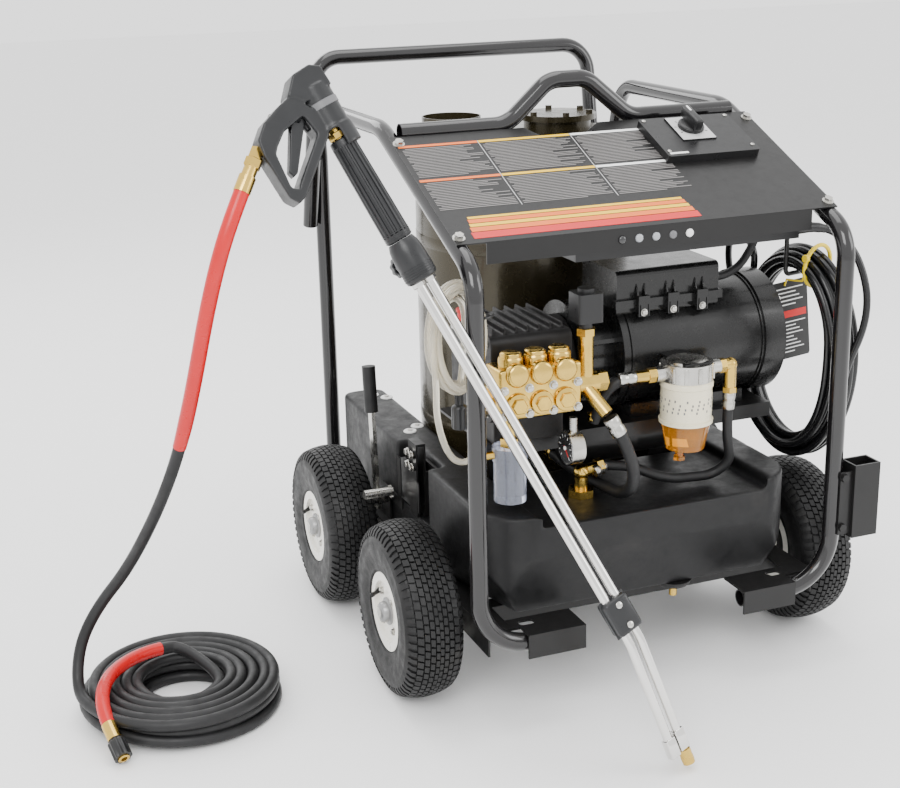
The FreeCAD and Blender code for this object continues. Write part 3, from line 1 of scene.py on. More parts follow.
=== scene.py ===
"""Electric hot-water pressure washer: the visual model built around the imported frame.

Metres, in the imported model's frame. Lengths in the tables below are millimetres in the machine's
own frame (its YZ plane is the cart's middle plane) and go through at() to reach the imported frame.
"""
import bpy
import bmesh
import json
import math
import random
from mathutils import Matrix, Vector


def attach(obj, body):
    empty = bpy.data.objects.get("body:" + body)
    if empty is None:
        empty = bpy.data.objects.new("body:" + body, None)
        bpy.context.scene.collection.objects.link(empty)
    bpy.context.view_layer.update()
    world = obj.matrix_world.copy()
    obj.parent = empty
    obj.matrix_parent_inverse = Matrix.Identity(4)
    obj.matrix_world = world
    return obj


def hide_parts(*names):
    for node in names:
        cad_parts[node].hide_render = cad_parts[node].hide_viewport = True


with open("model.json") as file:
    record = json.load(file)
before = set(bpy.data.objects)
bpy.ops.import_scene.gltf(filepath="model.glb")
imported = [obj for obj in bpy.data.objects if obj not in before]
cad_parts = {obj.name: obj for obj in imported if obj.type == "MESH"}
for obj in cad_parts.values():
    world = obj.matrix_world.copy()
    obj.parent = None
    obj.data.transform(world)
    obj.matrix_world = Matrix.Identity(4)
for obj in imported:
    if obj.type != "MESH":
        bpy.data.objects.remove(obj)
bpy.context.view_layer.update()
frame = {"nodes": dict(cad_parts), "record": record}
NODES = frame["nodes"]
random.seed(11)

MM = 0.001
STAND = Vector((95.6, 70.8, 0.0))
CART = "cart"
UP = Vector((0, 0, 1))
LEFT = Vector((-1, 0, 0))
FRONT = Vector((0, -1, 0))


def at(x, y, z):
    """A point of the machine's frame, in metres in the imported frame."""
    return (Vector((x, y, z)) + STAND) * MM


# ---------------------------------------------------------------- camera
CAMERA_AT = (-999.7, -2114.2, 1099.7)
CAMERA_AZIMUTH = math.radians(-21.20)
CAMERA_ELEVATION = math.radians(17.44)
CAMERA_ROLL = math.radians(-1.27)
CAMERA_LENS = 60.63


def make_camera():
    """Stand at the machine's front left, a little above it, with the picture tipped by the roll."""
    data = bpy.data.cameras.new("camera")
    data.lens = CAMERA_LENS
    data.sensor_width = 36.0
    data.sensor_fit = "HORIZONTAL"
    data.clip_end = 50.0
    camera = bpy.data.objects.new("camera", data)
    turn = (Matrix.Rotation(CAMERA_AZIMUTH, 4, "Z")
            @ Matrix.Rotation(math.pi / 2 - CAMERA_ELEVATION, 4, "X")
            @ Matrix.Rotation(CAMERA_ROLL, 4, "Z"))
    camera.matrix_world = Matrix.Translation(at(*CAMERA_AT)) @ turn
    bpy.context.scene.collection.objects.link(camera)
    bpy.context.scene.camera = camera


make_camera()

# ---------------------------------------------------------------- frames of the sloped parts
SLOPE = math.radians(23.0)
PANEL_UP = Vector((0.0, math.cos(SLOPE), math.sin(SLOPE)))
PANEL_OUT = Vector((0.0, -math.sin(SLOPE), math.cos(SLOPE)))
FRONT_Y, FRONT_Z = -325.6, 696.6
PANEL_FRONT = Vector((0.0, FRONT_Y, FRONT_Z))
LANCE_BEND = Vector((-129.0, -519.0, 190.0))
LANCE_TIP = Vector((-72.3, -556.3, 14.0))
LANCE_LEAN = Vector((-296.5, -385.7, 552.0))
LANCE_DIR = (LANCE_LEAN - LANCE_BEND).normalized()
LOWER_DIR = (LANCE_BEND - LANCE_TIP).normalized()
GUN_LEAN = Vector((-1.0, -0.18, -0.3))
GUN_SIDE = (GUN_LEAN - LANCE_DIR * GUN_LEAN.dot(LANCE_DIR)).normalized()
GUN_NORMAL = LANCE_DIR.cross(GUN_SIDE)
GUN_START = 764.0
GRIP_START = 605.0
GRIP_END = 752.0
VALVE_START = 547.0
KNOB_ALONG = VALVE_START + 28.0
PIPE_SIDE = 8.5
INLET_ALONG, INLET_ASIDE = 18.0, 112.0
INLET_DIR = (GUN_SIDE * 0.8 - LANCE_DIR * 0.6).normalized()


def on_panel(x, along, above=0.0):
    """A place on the panel: across, up the slope and off its face."""
    return PANEL_FRONT + Vector((x, 0, 0)) + PANEL_UP * along + PANEL_OUT * above


def on_lance(along, aside=0.0, off=0.0):
    """A place by the lance: up its upper run, to the gun's side and off its middle plane."""
    return LANCE_BEND + LANCE_DIR * along + GUN_SIDE * aside + GUN_NORMAL * off


# ---------------------------------------------------------------- materials
class Tree:
    """A few shortcuts for building one material's nodes."""

    def __init__(self, name):
        self.mat = bpy.data.materials.new(name)
        self.mat.use_nodes = True
        self.tree = self.mat.node_tree
        self.shader = self.tree.nodes["Principled BSDF"]
        self.coord = self.add("ShaderNodeTexCoord").outputs["Object"]

    def add(self, kind, **values):
        node = self.tree.nodes.new(kind)
        for key, value in values.items():
            setattr(node, key, value)
        return node

    def link(self, out, into):
        self.tree.links.new(out, into)

    def noise(self, scale, detail=4.0, rough=0.55, stretch=None):
        node = self.add("ShaderNodeTexNoise")
        node.inputs["Scale"].default_value = scale
        node.inputs["Detail"].default_value = detail
        node.inputs["Roughness"].default_value = rough
        source = self.coord
        if stretch:
            mapping = self.add("ShaderNodeMapping")
            mapping.inputs["Scale"].default_value = stretch
            self.link(self.coord, mapping.inputs["Vector"])
            source = mapping.outputs["Vector"]
        self.link(source, node.inputs["Vector"])
        return node.outputs["Fac"]

    def ramp(self, fac, stops):
        node = self.add("ShaderNodeValToRGB")
        first, last = node.color_ramp.elements[0], node.color_ramp.elements[1]
        first.position, first.color = stops[0][0], (*stops[0][1], 1)
        last.position, last.color = stops[-1][0], (*stops[-1][1], 1)
        for place, colour in stops[1:-1]:
            node.color_ramp.elements.new(place).color = (*colour, 1)
        self.link(fac, node.inputs["Fac"])
        return node.outputs["Color"]

    def spread(self, fac, low, high):
        node = self.add("ShaderNodeMapRange")
        node.inputs["From Min"].default_value = 0.3
        node.inputs["From Max"].default_value = 0.7
        node.inputs["To Min"].default_value = low
        node.inputs["To Max"].default_value = high
        self.link(fac, node.inputs["Value"])
        return node.outputs["Result"]

    def bump(self, height, strength, distance):
        node = self.add("ShaderNodeBump")
        node.inputs["Strength"].default_value = strength
        node.inputs["Distance"].default_value = distance
        self.link(height, node.inputs["Height"])
        self.link(node.outputs["Normal"], self.shader.inputs["Normal"])
        return node


def tint(colour, factor):
    return tuple(min(1.0, c * factor) for c in colour)


def surface(name, colour, rough, metal=0.0, mottle=0.15, grain=(400.0, 0.25, 0.0002),
            coat=0.0, smear=0.25, dust=None, stretch=None, gloss=0.5):
    """Colour drift, roughness drift and a fine bump; dust is a second colour in patches."""
    t = Tree(name)
    drift = t.noise(14.0, 5.0, 0.6, stretch)
    stops = [(0.25, tint(colour, 1 - mottle)), (0.75, tint(colour, 1 + mottle))]
    if dust:
        stops = [(0.3, tint(colour, 1 - mottle)), (0.6, colour), (0.82, dust)]
    t.link(t.ramp(drift, stops), t.shader.inputs["Base Color"])
    t.link(t.spread(t.noise(55.0, 5.0, 0.65, stretch), max(0.02, rough * (1 - smear)),
                    min(1.0, rough * (1 + smear))), t.shader.inputs["Roughness"])
    t.shader.inputs["Metallic"].default_value = metal
    t.shader.inputs["Specular IOR Level"].default_value = gloss
    t.shader.inputs["Coat Weight"].default_value = coat
    t.shader.inputs["Coat Roughness"].default_value = 0.08
    t.bump(t.noise(grain[0], 3.0), grain[1], grain[2])
    return t.mat


def glassy(name, colour, rough, weight, ior=1.45):
    t = Tree(name)
    t.link(t.ramp(t.noise(20.0), [(0.2, tint(colour, 0.9)), (0.8, tint(colour, 1.06))]),
           t.shader.inputs["Base Color"])
    t.link(t.spread(t.noise(70.0), rough * 0.7, rough * 1.4), t.shader.inputs["Roughness"])
    t.shader.inputs["Transmission Weight"].default_value = weight
    t.shader.inputs["IOR"].default_value = ior
    t.bump(t.noise(160.0), 0.1, 0.0003)
    return t.mat


M = {
    "black_tube": surface("gloss_black_coat", (0.006, 0.0055, 0.006), 0.14, coat=0.35, mottle=0.2,
                          grain=(260.0, 0.12, 0.0003), gloss=0.45),
    "black_steel": surface("black_powder_coat", (0.008, 0.0078, 0.0078), 0.36, coat=0.05,
                           grain=(700.0, 0.25, 0.0002), gloss=0.3),
    "motor_black": surface("motor_enamel", (0.006, 0.006, 0.006), 0.26, coat=0.12,
                           grain=(420.0, 0.2, 0.0003), gloss=0.35),
    "dark_casting": surface("cast_metal", (0.016, 0.015, 0.015), 0.5, metal=0.2, mottle=0.3,
                            grain=(520.0, 0.6, 0.0006), dust=(0.04, 0.037, 0.033), gloss=0.35),
    "olive_steel": surface("olive_enamel", (0.035, 0.028, 0.013), 0.25, metal=0.5, mottle=0.15,
                           coat=0.15, grain=(300.0, 0.1, 0.0003)),
    "zinc": surface("zinc_plate", (0.5, 0.49, 0.46), 0.26, metal=1.0, mottle=0.18,
                    grain=(600.0, 0.2, 0.0002), smear=0.5),
    "chrome": surface("polished_plate", (0.7, 0.69, 0.67), 0.1, metal=1.0, mottle=0.06,
                      grain=(300.0, 0.05, 0.0002), smear=0.5),
    "brass": surface("turned_brass", (0.66, 0.44, 0.1), 0.22, metal=1.0, mottle=0.2,
                     grain=(500.0, 0.25, 0.0002), dust=(0.36, 0.23, 0.06), smear=0.5),
    "black_poly": surface("moulded_tank", (0.0065, 0.0065, 0.007), 0.46, mottle=0.35,
                          grain=(900.0, 0.5, 0.0003), gloss=0.3, dust=(0.016, 0.015, 0.014)),
    "black_plastic": surface("black_moulding", (0.008, 0.008, 0.0085), 0.34,
                             grain=(900.0, 0.3, 0.0002), gloss=0.4),
    "gun_plastic": surface("gun_moulding", (0.011, 0.0115, 0.0125), 0.34, mottle=0.2,
                           grain=(1000.0, 0.35, 0.0002), gloss=0.4),
    "cream": surface("cream_enamel", (0.74, 0.68, 0.5), 0.3, coat=0.3, mottle=0.05,
                     grain=(260.0, 0.08, 0.0003)),
    "amber": glassy("amber_bowl", (0.75, 0.3, 0.02), 0.06, 0.75),
    "clear_blue": glassy("strainer_bowl_clear", (0.52, 0.55, 0.66), 0.06, 0.82),
    "hose_rubber": surface("black_rubber", (0.009, 0.009, 0.0095), 0.5, mottle=0.35,
                           grain=(700.0, 0.45, 0.0003), gloss=0.35),
    "red_sleeve": surface("red_cover", (0.5, 0.004, 0.006), 0.3, mottle=0.12,
                          grain=(500.0, 0.2, 0.0002), gloss=0.4),
    "cord_pvc": surface("cord_jacket", (0.006, 0.006, 0.0065), 0.24, mottle=0.2,
                        grain=(700.0, 0.2, 0.0002), gloss=0.45),
    "clear_vinyl": glassy("clear_vinyl", (0.86, 0.81, 0.68), 0.14, 0.7),
    "label_black": surface("tag_card", (0.01, 0.01, 0.01), 0.42, grain=(300.0, 0.1, 0.0002)),
    "lamp_grey": surface("lamp_lens", (0.3, 0.31, 0.33), 0.2, coat=0.5, mottle=0.05),
    "tyre": surface("tyre_rubber", (0.0075, 0.0075, 0.0078), 0.55, mottle=0.35, gloss=0.35,
                    grain=(600.0, 0.5, 0.0004), dust=(0.02, 0.0185, 0.0165)),
    "rim_white": surface("rim_enamel", (0.86, 0.84, 0.77), 0.3, coat=0.3, mottle=0.04,
                         grain=(300.0, 0.1, 0.0003), dust=(0.8, 0.77, 0.68)),
}


def ink(name, colour, rough, mottle):
    """A smooth printed colour."""
    return surface(name, colour, rough, mottle=mottle, grain=(400.0, 0.05, 0.0001))


WHITE = ink("white_print", (0.85, 0.85, 0.84), 0.4, 0.03)
PALE = ink("pale_print", (0.2, 0.19, 0.185), 0.45, 0.1)
GREY = ink("grey_print", (0.5, 0.5, 0.5), 0.4, 0.05)
YELLOW = ink("yellow_print", (0.82, 0.5, 0.0), 0.38, 0.04)
ORANGE = ink("orange_print", (0.78, 0.14, 0.0), 0.38, 0.04)
RED = ink("red_print", (0.6, 0.003, 0.003), 0.38, 0.05)
TIE_YELLOW = surface("tie_yellow", (0.8, 0.58, 0.0), 0.4, mottle=0.06)
HUB_GREY = surface("hub_cap_grey", (0.3, 0.3, 0.3), 0.35, metal=0.7, mottle=0.15)
LENS_DARK = surface("lens_dark", (0.01, 0.01, 0.011), 0.15, coat=0.5)
LENS_WHITE = surface("lens_white", (0.8, 0.8, 0.78), 0.2, coat=0.5, mottle=0.03)
SLEEVE_GREY = surface("collar_grey", (0.12, 0.12, 0.125), 0.35, mottle=0.08)


def paint_nodes():
    """Give every carried-over node the material of its record slot."""
    for part in frame["record"]["subparts"]:
        data = NODES[part["node"]].data
        data.materials.clear()
        data.materials.append(M[part["material_slot"]])


paint_nodes()


# ---------------------------------------------------------------- mesh helpers
def link(obj, body):
    """Put a piece in the scene and on its body."""
    bpy.context.scene.collection.objects.link(obj)
    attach(obj, body)
    return obj


def piece(name, bm, materials, body=CART, smooth=True, sharp=40.0):
    """An object from a bmesh in the machine's millimetres."""
    bmesh.ops.recalc_face_normals(bm, faces=bm.faces)
    bmesh.ops.translate(bm, verts=bm.verts, vec=STAND)
    bmesh.ops.scale(bm, verts=bm.verts, vec=(MM, MM, MM))
    mesh = bpy.data.meshes.new(name)
    for face in bm.faces:
        face.smooth = smooth
    if smooth:
        for edge in bm.edges:
            if len(edge.link_faces) == 2 and edge.calc_face_angle(0.0) > math.radians(sharp):
                edge.smooth = False
    bm.to_mesh(mesh)
    bm.free()
    for mat in materials if isinstance(materials, (list, tuple)) else [materials]:
        mesh.materials.append(mat)
    return link(bpy.data.objects.new(name, mesh), body)


def axes_for(direction):
    """Two directions square to one direction and to each other."""
    direction = direction.normalized()
    helper = Vector((0, 0, 1)) if abs(direction.z) < 0.9 else Vector((0, 1, 0))
    u = direction.cross(helper).normalized()
    return u, direction.cross(u)


def spokes(angle, upright=True):
    """Outward and sideways directions at an angle round an upright or a crosswise axis."""
    c, s = math.cos(angle), math.sin(angle)
    if upright:
        return Vector((c, s, 0)), Vector((-s, c, 0))
    return Vector((0, c, s)), Vector((0, -s, c))


def skin(bm, rings, mat):
    """Join rings of equally many vertices into one closed surface."""
    count = len(rings[0])
    for low, high in zip(rings, rings[1:]):
        for i in range(count):
            j = (i + 1) % count
            bm.faces.new((low[i], low[j], high[j], high[i])).material_index = mat
    bm.faces.new(list(reversed(rings[0]))).material_index = mat
    bm.faces.new(rings[-1]).material_index = mat


def lathe(bm, origin, direction, profile, count=48, mat=0, lobes=0, lobe_depth=0.0):
    """Revolve (distance along, radius) pairs about a line; the ends are closed."""
    direction = direction.normalized()
    u, v = axes_for(direction)
    rings = []
    for along, radius in profile:
        ring = []
        for i in range(count):
            a = 2 * math.pi * i / count
            r = radius
            if lobes:
                r = radius - lobe_depth * 0.5 * (1 - math.cos(lobes * a))
            spoke = (u * math.cos(a) + v * math.sin(a)) * r
            ring.append(bm.verts.new(origin + direction * along + spoke))
        rings.append(ring)
    skin(bm, rings, mat)


def block(bm, origin, ex, ey, ez, mat=0, bevel=0.0):
    """A box from a corner and three edge vectors, with its edges rounded."""
    part = bmesh.new()
    corners = [part.verts.new(origin + ex * i + ey * j + ez * k)
               for i in (0, 1) for j in (0, 1) for k in (0, 1)]
    for quad in ((0, 1, 3, 2), (4, 6, 7, 5), (0, 4, 5, 1), (2, 3, 7, 6), (0, 2, 6, 4), (1, 5, 7, 3)):
        part.faces.new([corners[i] for i in quad])
    if bevel:
        bmesh.ops.bevel(part, geom=list(part.edges), offset=bevel, segments=3, profile=0.5,
                        affect="EDGES", clamp_overlap=True)
    for face in part.faces:
        face.material_index = mat
    merge(bm, part)


def merge(bm, part):
    """Add one bmesh to another and free it."""
    mesh = bpy.data.meshes.new("scratch")
    part.to_mesh(mesh)
    part.free()
    bm.from_mesh(mesh)
    bpy.data.meshes.remove(mesh)


def prism(bm, outline, point, thick_dir, thick, mat=0, bevel=0.0, segments=3):
    """Extrude an outline of 2-D pairs, mapped by point(), along thick_dir."""
    part = bmesh.new()
    low = [part.verts.new(point(a, b)) for a, b in outline]
    face = part.faces.new(low)
    moved = bmesh.ops.extrude_face_region(part, geom=[face])
    verts = [g for g in moved["geom"] if isinstance(g, bmesh.types.BMVert)]
    bmesh.ops.translate(part, verts=verts, vec=thick_dir * thick)
    if bevel:
        bmesh.ops.bevel(part, geom=list(part.edges), offset=bevel, segments=segments, profile=0.5,
                        affect="EDGES", clamp_overlap=True)
    for f in part.faces:
        f.material_index = mat
    merge(bm, part)


def sweep_path(bm, path, radius, count=16, mat=0):
    """A closed tube along points; radius is a number or a function of the share of length."""
    steps = [0.0]
    for a, b in zip(path, path[1:]):
        steps.append(steps[-1] + (b - a).length)
    tangent = (path[1] - path[0]).normalized()
    u, v = axes_for(tangent)
    rings = []
    for i, p in enumerate(path):
        before, after = path[max(i - 1, 0)], path[min(i + 1, len(path) - 1)]
        new = (after - before).normalized()
        turn = tangent.rotation_difference(new)
        u, v, tangent = turn @ u, turn @ v, new
        r = radius(steps[i] / steps[-1]) if callable(radius) else radius
        rings.append([bm.verts.new(p + (u * math.cos(2 * math.pi * k / count)
                                        + v * math.sin(2 * math.pi * k / count)) * r)
                      for k in range(count)])
    skin(bm, rings, mat)


def moulded(node, name, voxel, rounds, slot, body=CART):
    """A node's shape with its corners rounded as a moulding or casting has them."""
    mesh = NODES[node].data.copy()
    obj = bpy.data.objects.new(name, mesh)
    bpy.context.scene.collection.objects.link(obj)
    remesh = obj.modifiers.new("even", "REMESH")
    remesh.mode = "VOXEL"
    remesh.voxel_size = voxel
    relax = obj.modifiers.new("relax", "SMOOTH")
    relax.factor = 0.5
    relax.iterations = rounds
    bpy.context.view_layer.update()
    shaped = obj.evaluated_get(bpy.context.evaluated_depsgraph_get())
    done = bpy.data.meshes.new_from_object(shaped)
    obj.modifiers.clear()
    obj.data = done
    done.materials.clear()
    done.materials.append(M[slot])
    for polygon in done.polygons:
        polygon.use_smooth = True
    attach(obj, body)
    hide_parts(node)
    return obj


# ---------------------------------------------------------------- cords
def cord_curve(name, points, diameter, slot, *nodes):
    """A flexible line: one open spline with the route's points as its control points."""
    data = bpy.data.curves.new(name, "CURVE")
    data.dimensions = "3D"
    spline = data.splines.new("NURBS")
    spline.points.add(len(points) - 1)
    for target, p in zip(spline.points, points):
        target.co = (*at(*p), 1.0)
    spline.order_u = 3
    spline.use_endpoint_u = True
    spline.resolution_u = 6
    data.bevel_depth = diameter * MM / 2
    data.bevel_resolution = 5
    data.use_fill_caps = True
    data.materials.append(M[slot])
    obj = link(bpy.data.objects.new(name, data), CART)
    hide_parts(*nodes)
    return obj


def centreline(obj):
    """Points of a cord's smooth line, in the machine's millimetres."""
    data = obj.data.copy()
    data.bevel_depth = 0.0
    bare = bpy.data.objects.new("bare_line", data)
    bpy.context.scene.collection.objects.link(bare)
    bpy.context.view_layer.update()
    mesh = bpy.data.meshes.new_from_object(bare)
    found = [v.co / MM - STAND for v in mesh.vertices]
    bpy.data.objects.remove(bare)
    bpy.data.meshes.remove(mesh)
    return found


def stretch_of(line, start, end):
    """The part of a line between two lengths along it."""
    found, run = [], 0.0
    for a, b in zip(line, line[1:]):
        step = (b - a).length
        for mark in (start, end):
            if run <= mark < run + step:
                found.append(a + (b - a) * ((mark - run) / step))
        if start <= run + step <= end:
            found.append(b)
        run += step
    return found


def length_of(line):
    """A line's length along its points."""
    return sum((b - a).length for a, b in zip(line, line[1:]))


HOSE_D = 17.0
CORD_D = 11.0
CLEAR_D = 9.0
COIL_AT = (-651.0, -100.0)
COIL_OUTER = 152.0
COIL_INNER = 58.0


def coil_turns():
    """Flat layers, five turns wide: outside in, inside out, outside in, then up in the middle."""
    widths = 5
    per_turn = 16
    outer = COIL_OUTER - HOSE_D / 2
    inner = COIL_INNER + HOSE_D / 2
    levels = [42.5, 25.6, 8.7]
    points = []
    angle = math.radians(192)
    for level, z in enumerate(levels):
        for step in range(widths * per_turn):
            share = step / (widths * per_turn - 1)
            if level % 2:
                share = 1 - share
            r = outer + (inner - outer) * share
            turn = step // per_turn
            drift = 2.6 * math.sin(1.7 * turn + 2.1 * level)
            rise = z + (1.6 * math.sin(0.9 * angle + level) if level < 2 else 0.0)
            if step < 5 and level:
                rise += (levels[level - 1] - z) * (1 - step / 5)
            x = COIL_AT[0] + (r + drift * math.cos(angle * 0.5)) * math.cos(angle)
            y = COIL_AT[1] + r * math.sin(angle)
            points.append((x, y, rise))
            angle += 2 * math.pi / per_turn
    climb = 40.0
    for share in (0.15, 0.32, 0.5, 0.68, 0.85):
        r = 52.0 + 14 * share
        points.append((COIL_AT[0] + r * math.cos(angle), COIL_AT[1] + r * math.sin(angle),
                       levels[-1] + climb * share))
        angle += math.radians(36)
    return points


GUN_HOSE = [
    (-604, -322, 706), (-619, -296, 630), (-631, -266, 548), (-643, -234, 472),
    (-658, -196, 396), (-684, -150, 310), (-716, -92, 222), (-752, -60, 165),
    (-780, -56, 119), (-794, -66, 80), (-799, -90, 46),
]
COIL_TAIL = [
    (-636, -33, 60), (-668, -38, 65), (-704, -52, 67), (-736, -75, 67),
    (-760, -107, 66), (-774, -145, 62), (-776, -183, 46), (-769, -215, 28),
]


def gun_hose():
    """High-pressure hose from the gun, with red sleeves and its screw coupling."""
    base = on_lance(GUN_START + INLET_ALONG, INLET_ASIDE)
    leave = base + INLET_DIR * 26.2
    points = [leave, leave + INLET_DIR * 52]
    points += [Vector(p) for p in GUN_HOSE]
    points += [Vector(p) for p in coil_turns()]
    points += [Vector(p) for p in COIL_TAIL]
    hose = cord_curve("gun_hose", points, HOSE_D, "hose_rubber", "hose_run", "hose_coil", "hose_tail")
    line = centreline(hose)
    total = length_of(line)

    def sleeve(name, start, end, radius, mat):
        bm = bmesh.new()
        sweep_path(bm, stretch_of(line, start, end), radius, 20)
        return piece(name, bm, mat)

    red_top = sleeve("hose_sleeve_gun", 4.0, 400.0,
                     lambda s: 10.2 - 0.9 * min(1.0, max(0.0, (s - 0.9) * 10)),
                     M["red_sleeve"])
    red_end = sleeve("hose_sleeve_end", total - 235.0, total - 26.0, 9.9, M["red_sleeve"])
    crimp = sleeve("hose_crimp_end", total - 27.0, total - 0.5, 10.4, M["brass"])
    collar = sleeve("hose_crimp_gun", 0.3, 22.0, 11.0, M["brass"])
    out = (line[-1] - line[-2]).normalized()
    bm = bmesh.new()
    lathe(bm, line[-1] - out * 0.5, out, [(0, 10.4), (3, 10.8), (4, 12.6), (6, 13.4), (30, 13.4),
                                          (31, 12.8), (31.2, 9.2), (28, 9.0)], 80, 0, 10, 1.5)
    lathe(bm, line[-1] + out * 20, out,
          [(0, 8.2), (12.5, 8.2), (12.8, 7.6), (12.8, 4.4), (8, 4.2)], 32, 1)
    # The dark plug in the brass bore is painted shade standing in for the open bore.
    lathe(bm, line[-1] + out * 20, out, [(0, 4.3), (9, 4.3)], 24, 2)
    coupling = piece("hose_coupling", bm, [M["black_plastic"], M["brass"], LENS_DARK])
    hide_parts("hose_connector")
    return total


POWER_RUN = [
    (257, FRONT_Y + 44, FRONT_Z - 36), (288, FRONT_Y + 44, FRONT_Z - 36), (320, FRONT_Y + 38, FRONT_Z - 47),
    (344, FRONT_Y + 28, FRONT_Z - 72), (356, FRONT_Y + 17, FRONT_Z - 106), (360, FRONT_Y + 7, FRONT_Z - 146),
    (353, FRONT_Y + 4, FRONT_Z - 192),
]
HANK_AT = Vector((318.0, -201.0, 448.0))
HANK_TURN = math.radians(12.8)
ACROSS = Vector((math.sin(HANK_TURN), -math.cos(HANK_TURN), 0))
ASIDE = Vector((math.cos(HANK_TURN), math.sin(HANK_TURN), 0))


def hank_steps(grid, per_turn):
    """Each step of loops that move through a grid of (inward, layer) places."""
    for loop, (inward, layer) in enumerate(grid):
        after = grid[min(loop + 1, len(grid) - 1)]
        for step in range(per_turn):
            share = step / per_turn
            depth = inward + (after[0] - inward) * share
            level = layer + (after[1] - layer) * share
            yield loop, step, share, depth, level


def on_hank(across, side, up):
    """A place in the hank's own upright plane, or to its side."""
    return HANK_AT + ACROSS * across + ASIDE * side + UP * up


def hank_turns():
    """Loops from the front downwards; each lies a cord's breadth from the last."""
    grid = [(0, 0), (1, 0), (2, 0), (2, 1), (1, 1), (0, 1), (0, 2), (1, 2), (2, 2), (2, -1), (1, -1)]
    points = []
    for loop, step, share, depth, level in hank_steps(grid, 16):
        if loop == len(grid) - 1 and step > 9:
            break
        angle = -2 * math.pi * share
        low = max(0.0, -math.sin(angle))
        loose = 5.0 * math.sin(2.3 * loop + 0.6) * low
        wide = 112.5 - 12.2 * depth + 2.4 * math.sin(1.9 * loop)
        tall = 165.5 - 12.0 * depth + loose
        side = -11.5 + 11.8 * level + 3.0 * low * math.sin(3.1 * loop)
        points.append(on_hank(wide * math.cos(angle), side, tall * math.sin(angle)))
    return points


def power_cord():
    """Mains lead from its gland, round the hook as a hank, to the plug behind it."""
    points = [Vector(p) for p in POWER_RUN] + hank_turns()
    side = -24.0
    points += [on_hank(-67, side, 129), on_hank(-79, side + 2, 159), on_hank(-109, side + 8, 171),
               on_hank(-139, side + 14, 159), on_hank(-149, side + 20, 126),
               on_hank(-143, 0, 86), on_hank(-140, 0, 50)]
    cord = cord_curve("power_cord", points, CORD_D, "cord_pvc", "power_cord_run", "power_cord_hank")
    line = centreline(cord)
    total = length_of(line)
    bm = bmesh.new()
    boot = stretch_of(line, 0.2, 46.0)
    sweep_path(bm, boot, lambda s: 9.2 - 2.9 * s + 0.35 * math.sin(s * 60), 24)
    relief = piece("power_cord_relief", bm, M["black_plastic"])
    bm = bmesh.new()
    top = on_hank(-140, 0, 30)
    lathe(bm, top + UP * 24, -UP, [(0, 6.4), (8, 7.4), (16, 8.6), (24, 12), (30, 16.4), (34, 17),
                                       (60, 17), (64, 16.6), (69, 15), (70, 12)], 40, 0, 8, 0.8)
    for shift in (-6.5, 6.5):
        lathe(bm, top - UP * 45 + ASIDE * shift, -UP, [(0, 2.4), (18, 2.4), (21, 1.4)], 16, 1)
    plug = piece("mains_plug", bm, [M["cord_pvc"], M["zinc"]])
    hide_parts("power_plug")
    tag = cord_tag()
    return total


def cord_tag():
    """Black card with a coloured strip and plain rules, hung inside the hank by a yellow tie."""
    bm = bmesh.new()
    turn = Matrix.Rotation(math.radians(-6), 3, "Y")
    middle = Vector((HANK_AT.x - 16, HANK_AT.y + 4, 497))

    def card(u, v):
        return middle + turn @ Vector((u, 0, v))

    thick = Vector((0, 1, 0))
    outline = [(-38, -62), (38, -62), (40, -58), (40, 56), (34, 62), (-34, 62), (-40, 56), (-40, -58)]
    prism(bm, outline, card, thick, 1.2)
    prism(bm, [(-36, 4), (36, 4), (36, 15), (-36, 15)], lambda a, b: card(a, b) - thick * 0.35,
          thick, 0.4, 1)
    lower = [(-4 - row * 6, 34 - (row * 17) % 23, 1.6) for row in range(9)]
    upper = [(50 - row * 6.5, 32 - (row * 13) % 19, 1.8) for row in range(5)]
    for z, end, tall in lower + upper:
        prism(bm, [(-34, z), (end, z), (end, z + tall), (-34, z + tall)],
              lambda a, b: card(a, b) - thick * 0.3, thick, 0.35, 2)
    loop = []
    for i in range(33):
        a = 2 * math.pi * i / 32
        loop.append(on_hank(36 + 4 * math.sin(a), 27 * math.cos(a), 141 + 32 * math.sin(a)))
    sweep_path(bm, loop, 3.2, 10, 3)
    lathe(bm, on_hank(40, -26, 156), -ASIDE, [(0, 5), (1, 6), (6, 6), (7, 5)], 16, 3)
    string = [card(0, 56), card(2, 66) - thick * 3, on_hank(26, -20, 118), on_hank(36, -26, 136)]
    sweep_path(bm, string, 1.6, 8, 3)
    tag = piece("cord_tag_card", bm, [M["label_black"], RED, WHITE, TIE_YELLOW])
    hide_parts("cord_tag")
    return tag


CLEAR_AT = Vector((-292.0, -323.0, 571.0))
CLEAR_RUN = [
    (-244.4, -290, 388), (-262, -290, 386), (-280, -296, 386), (-296, -306, 397),
    (-310, -315, 418), (-320, -321, 446), (-325, -323, 475), (-324, -323, 503),
]


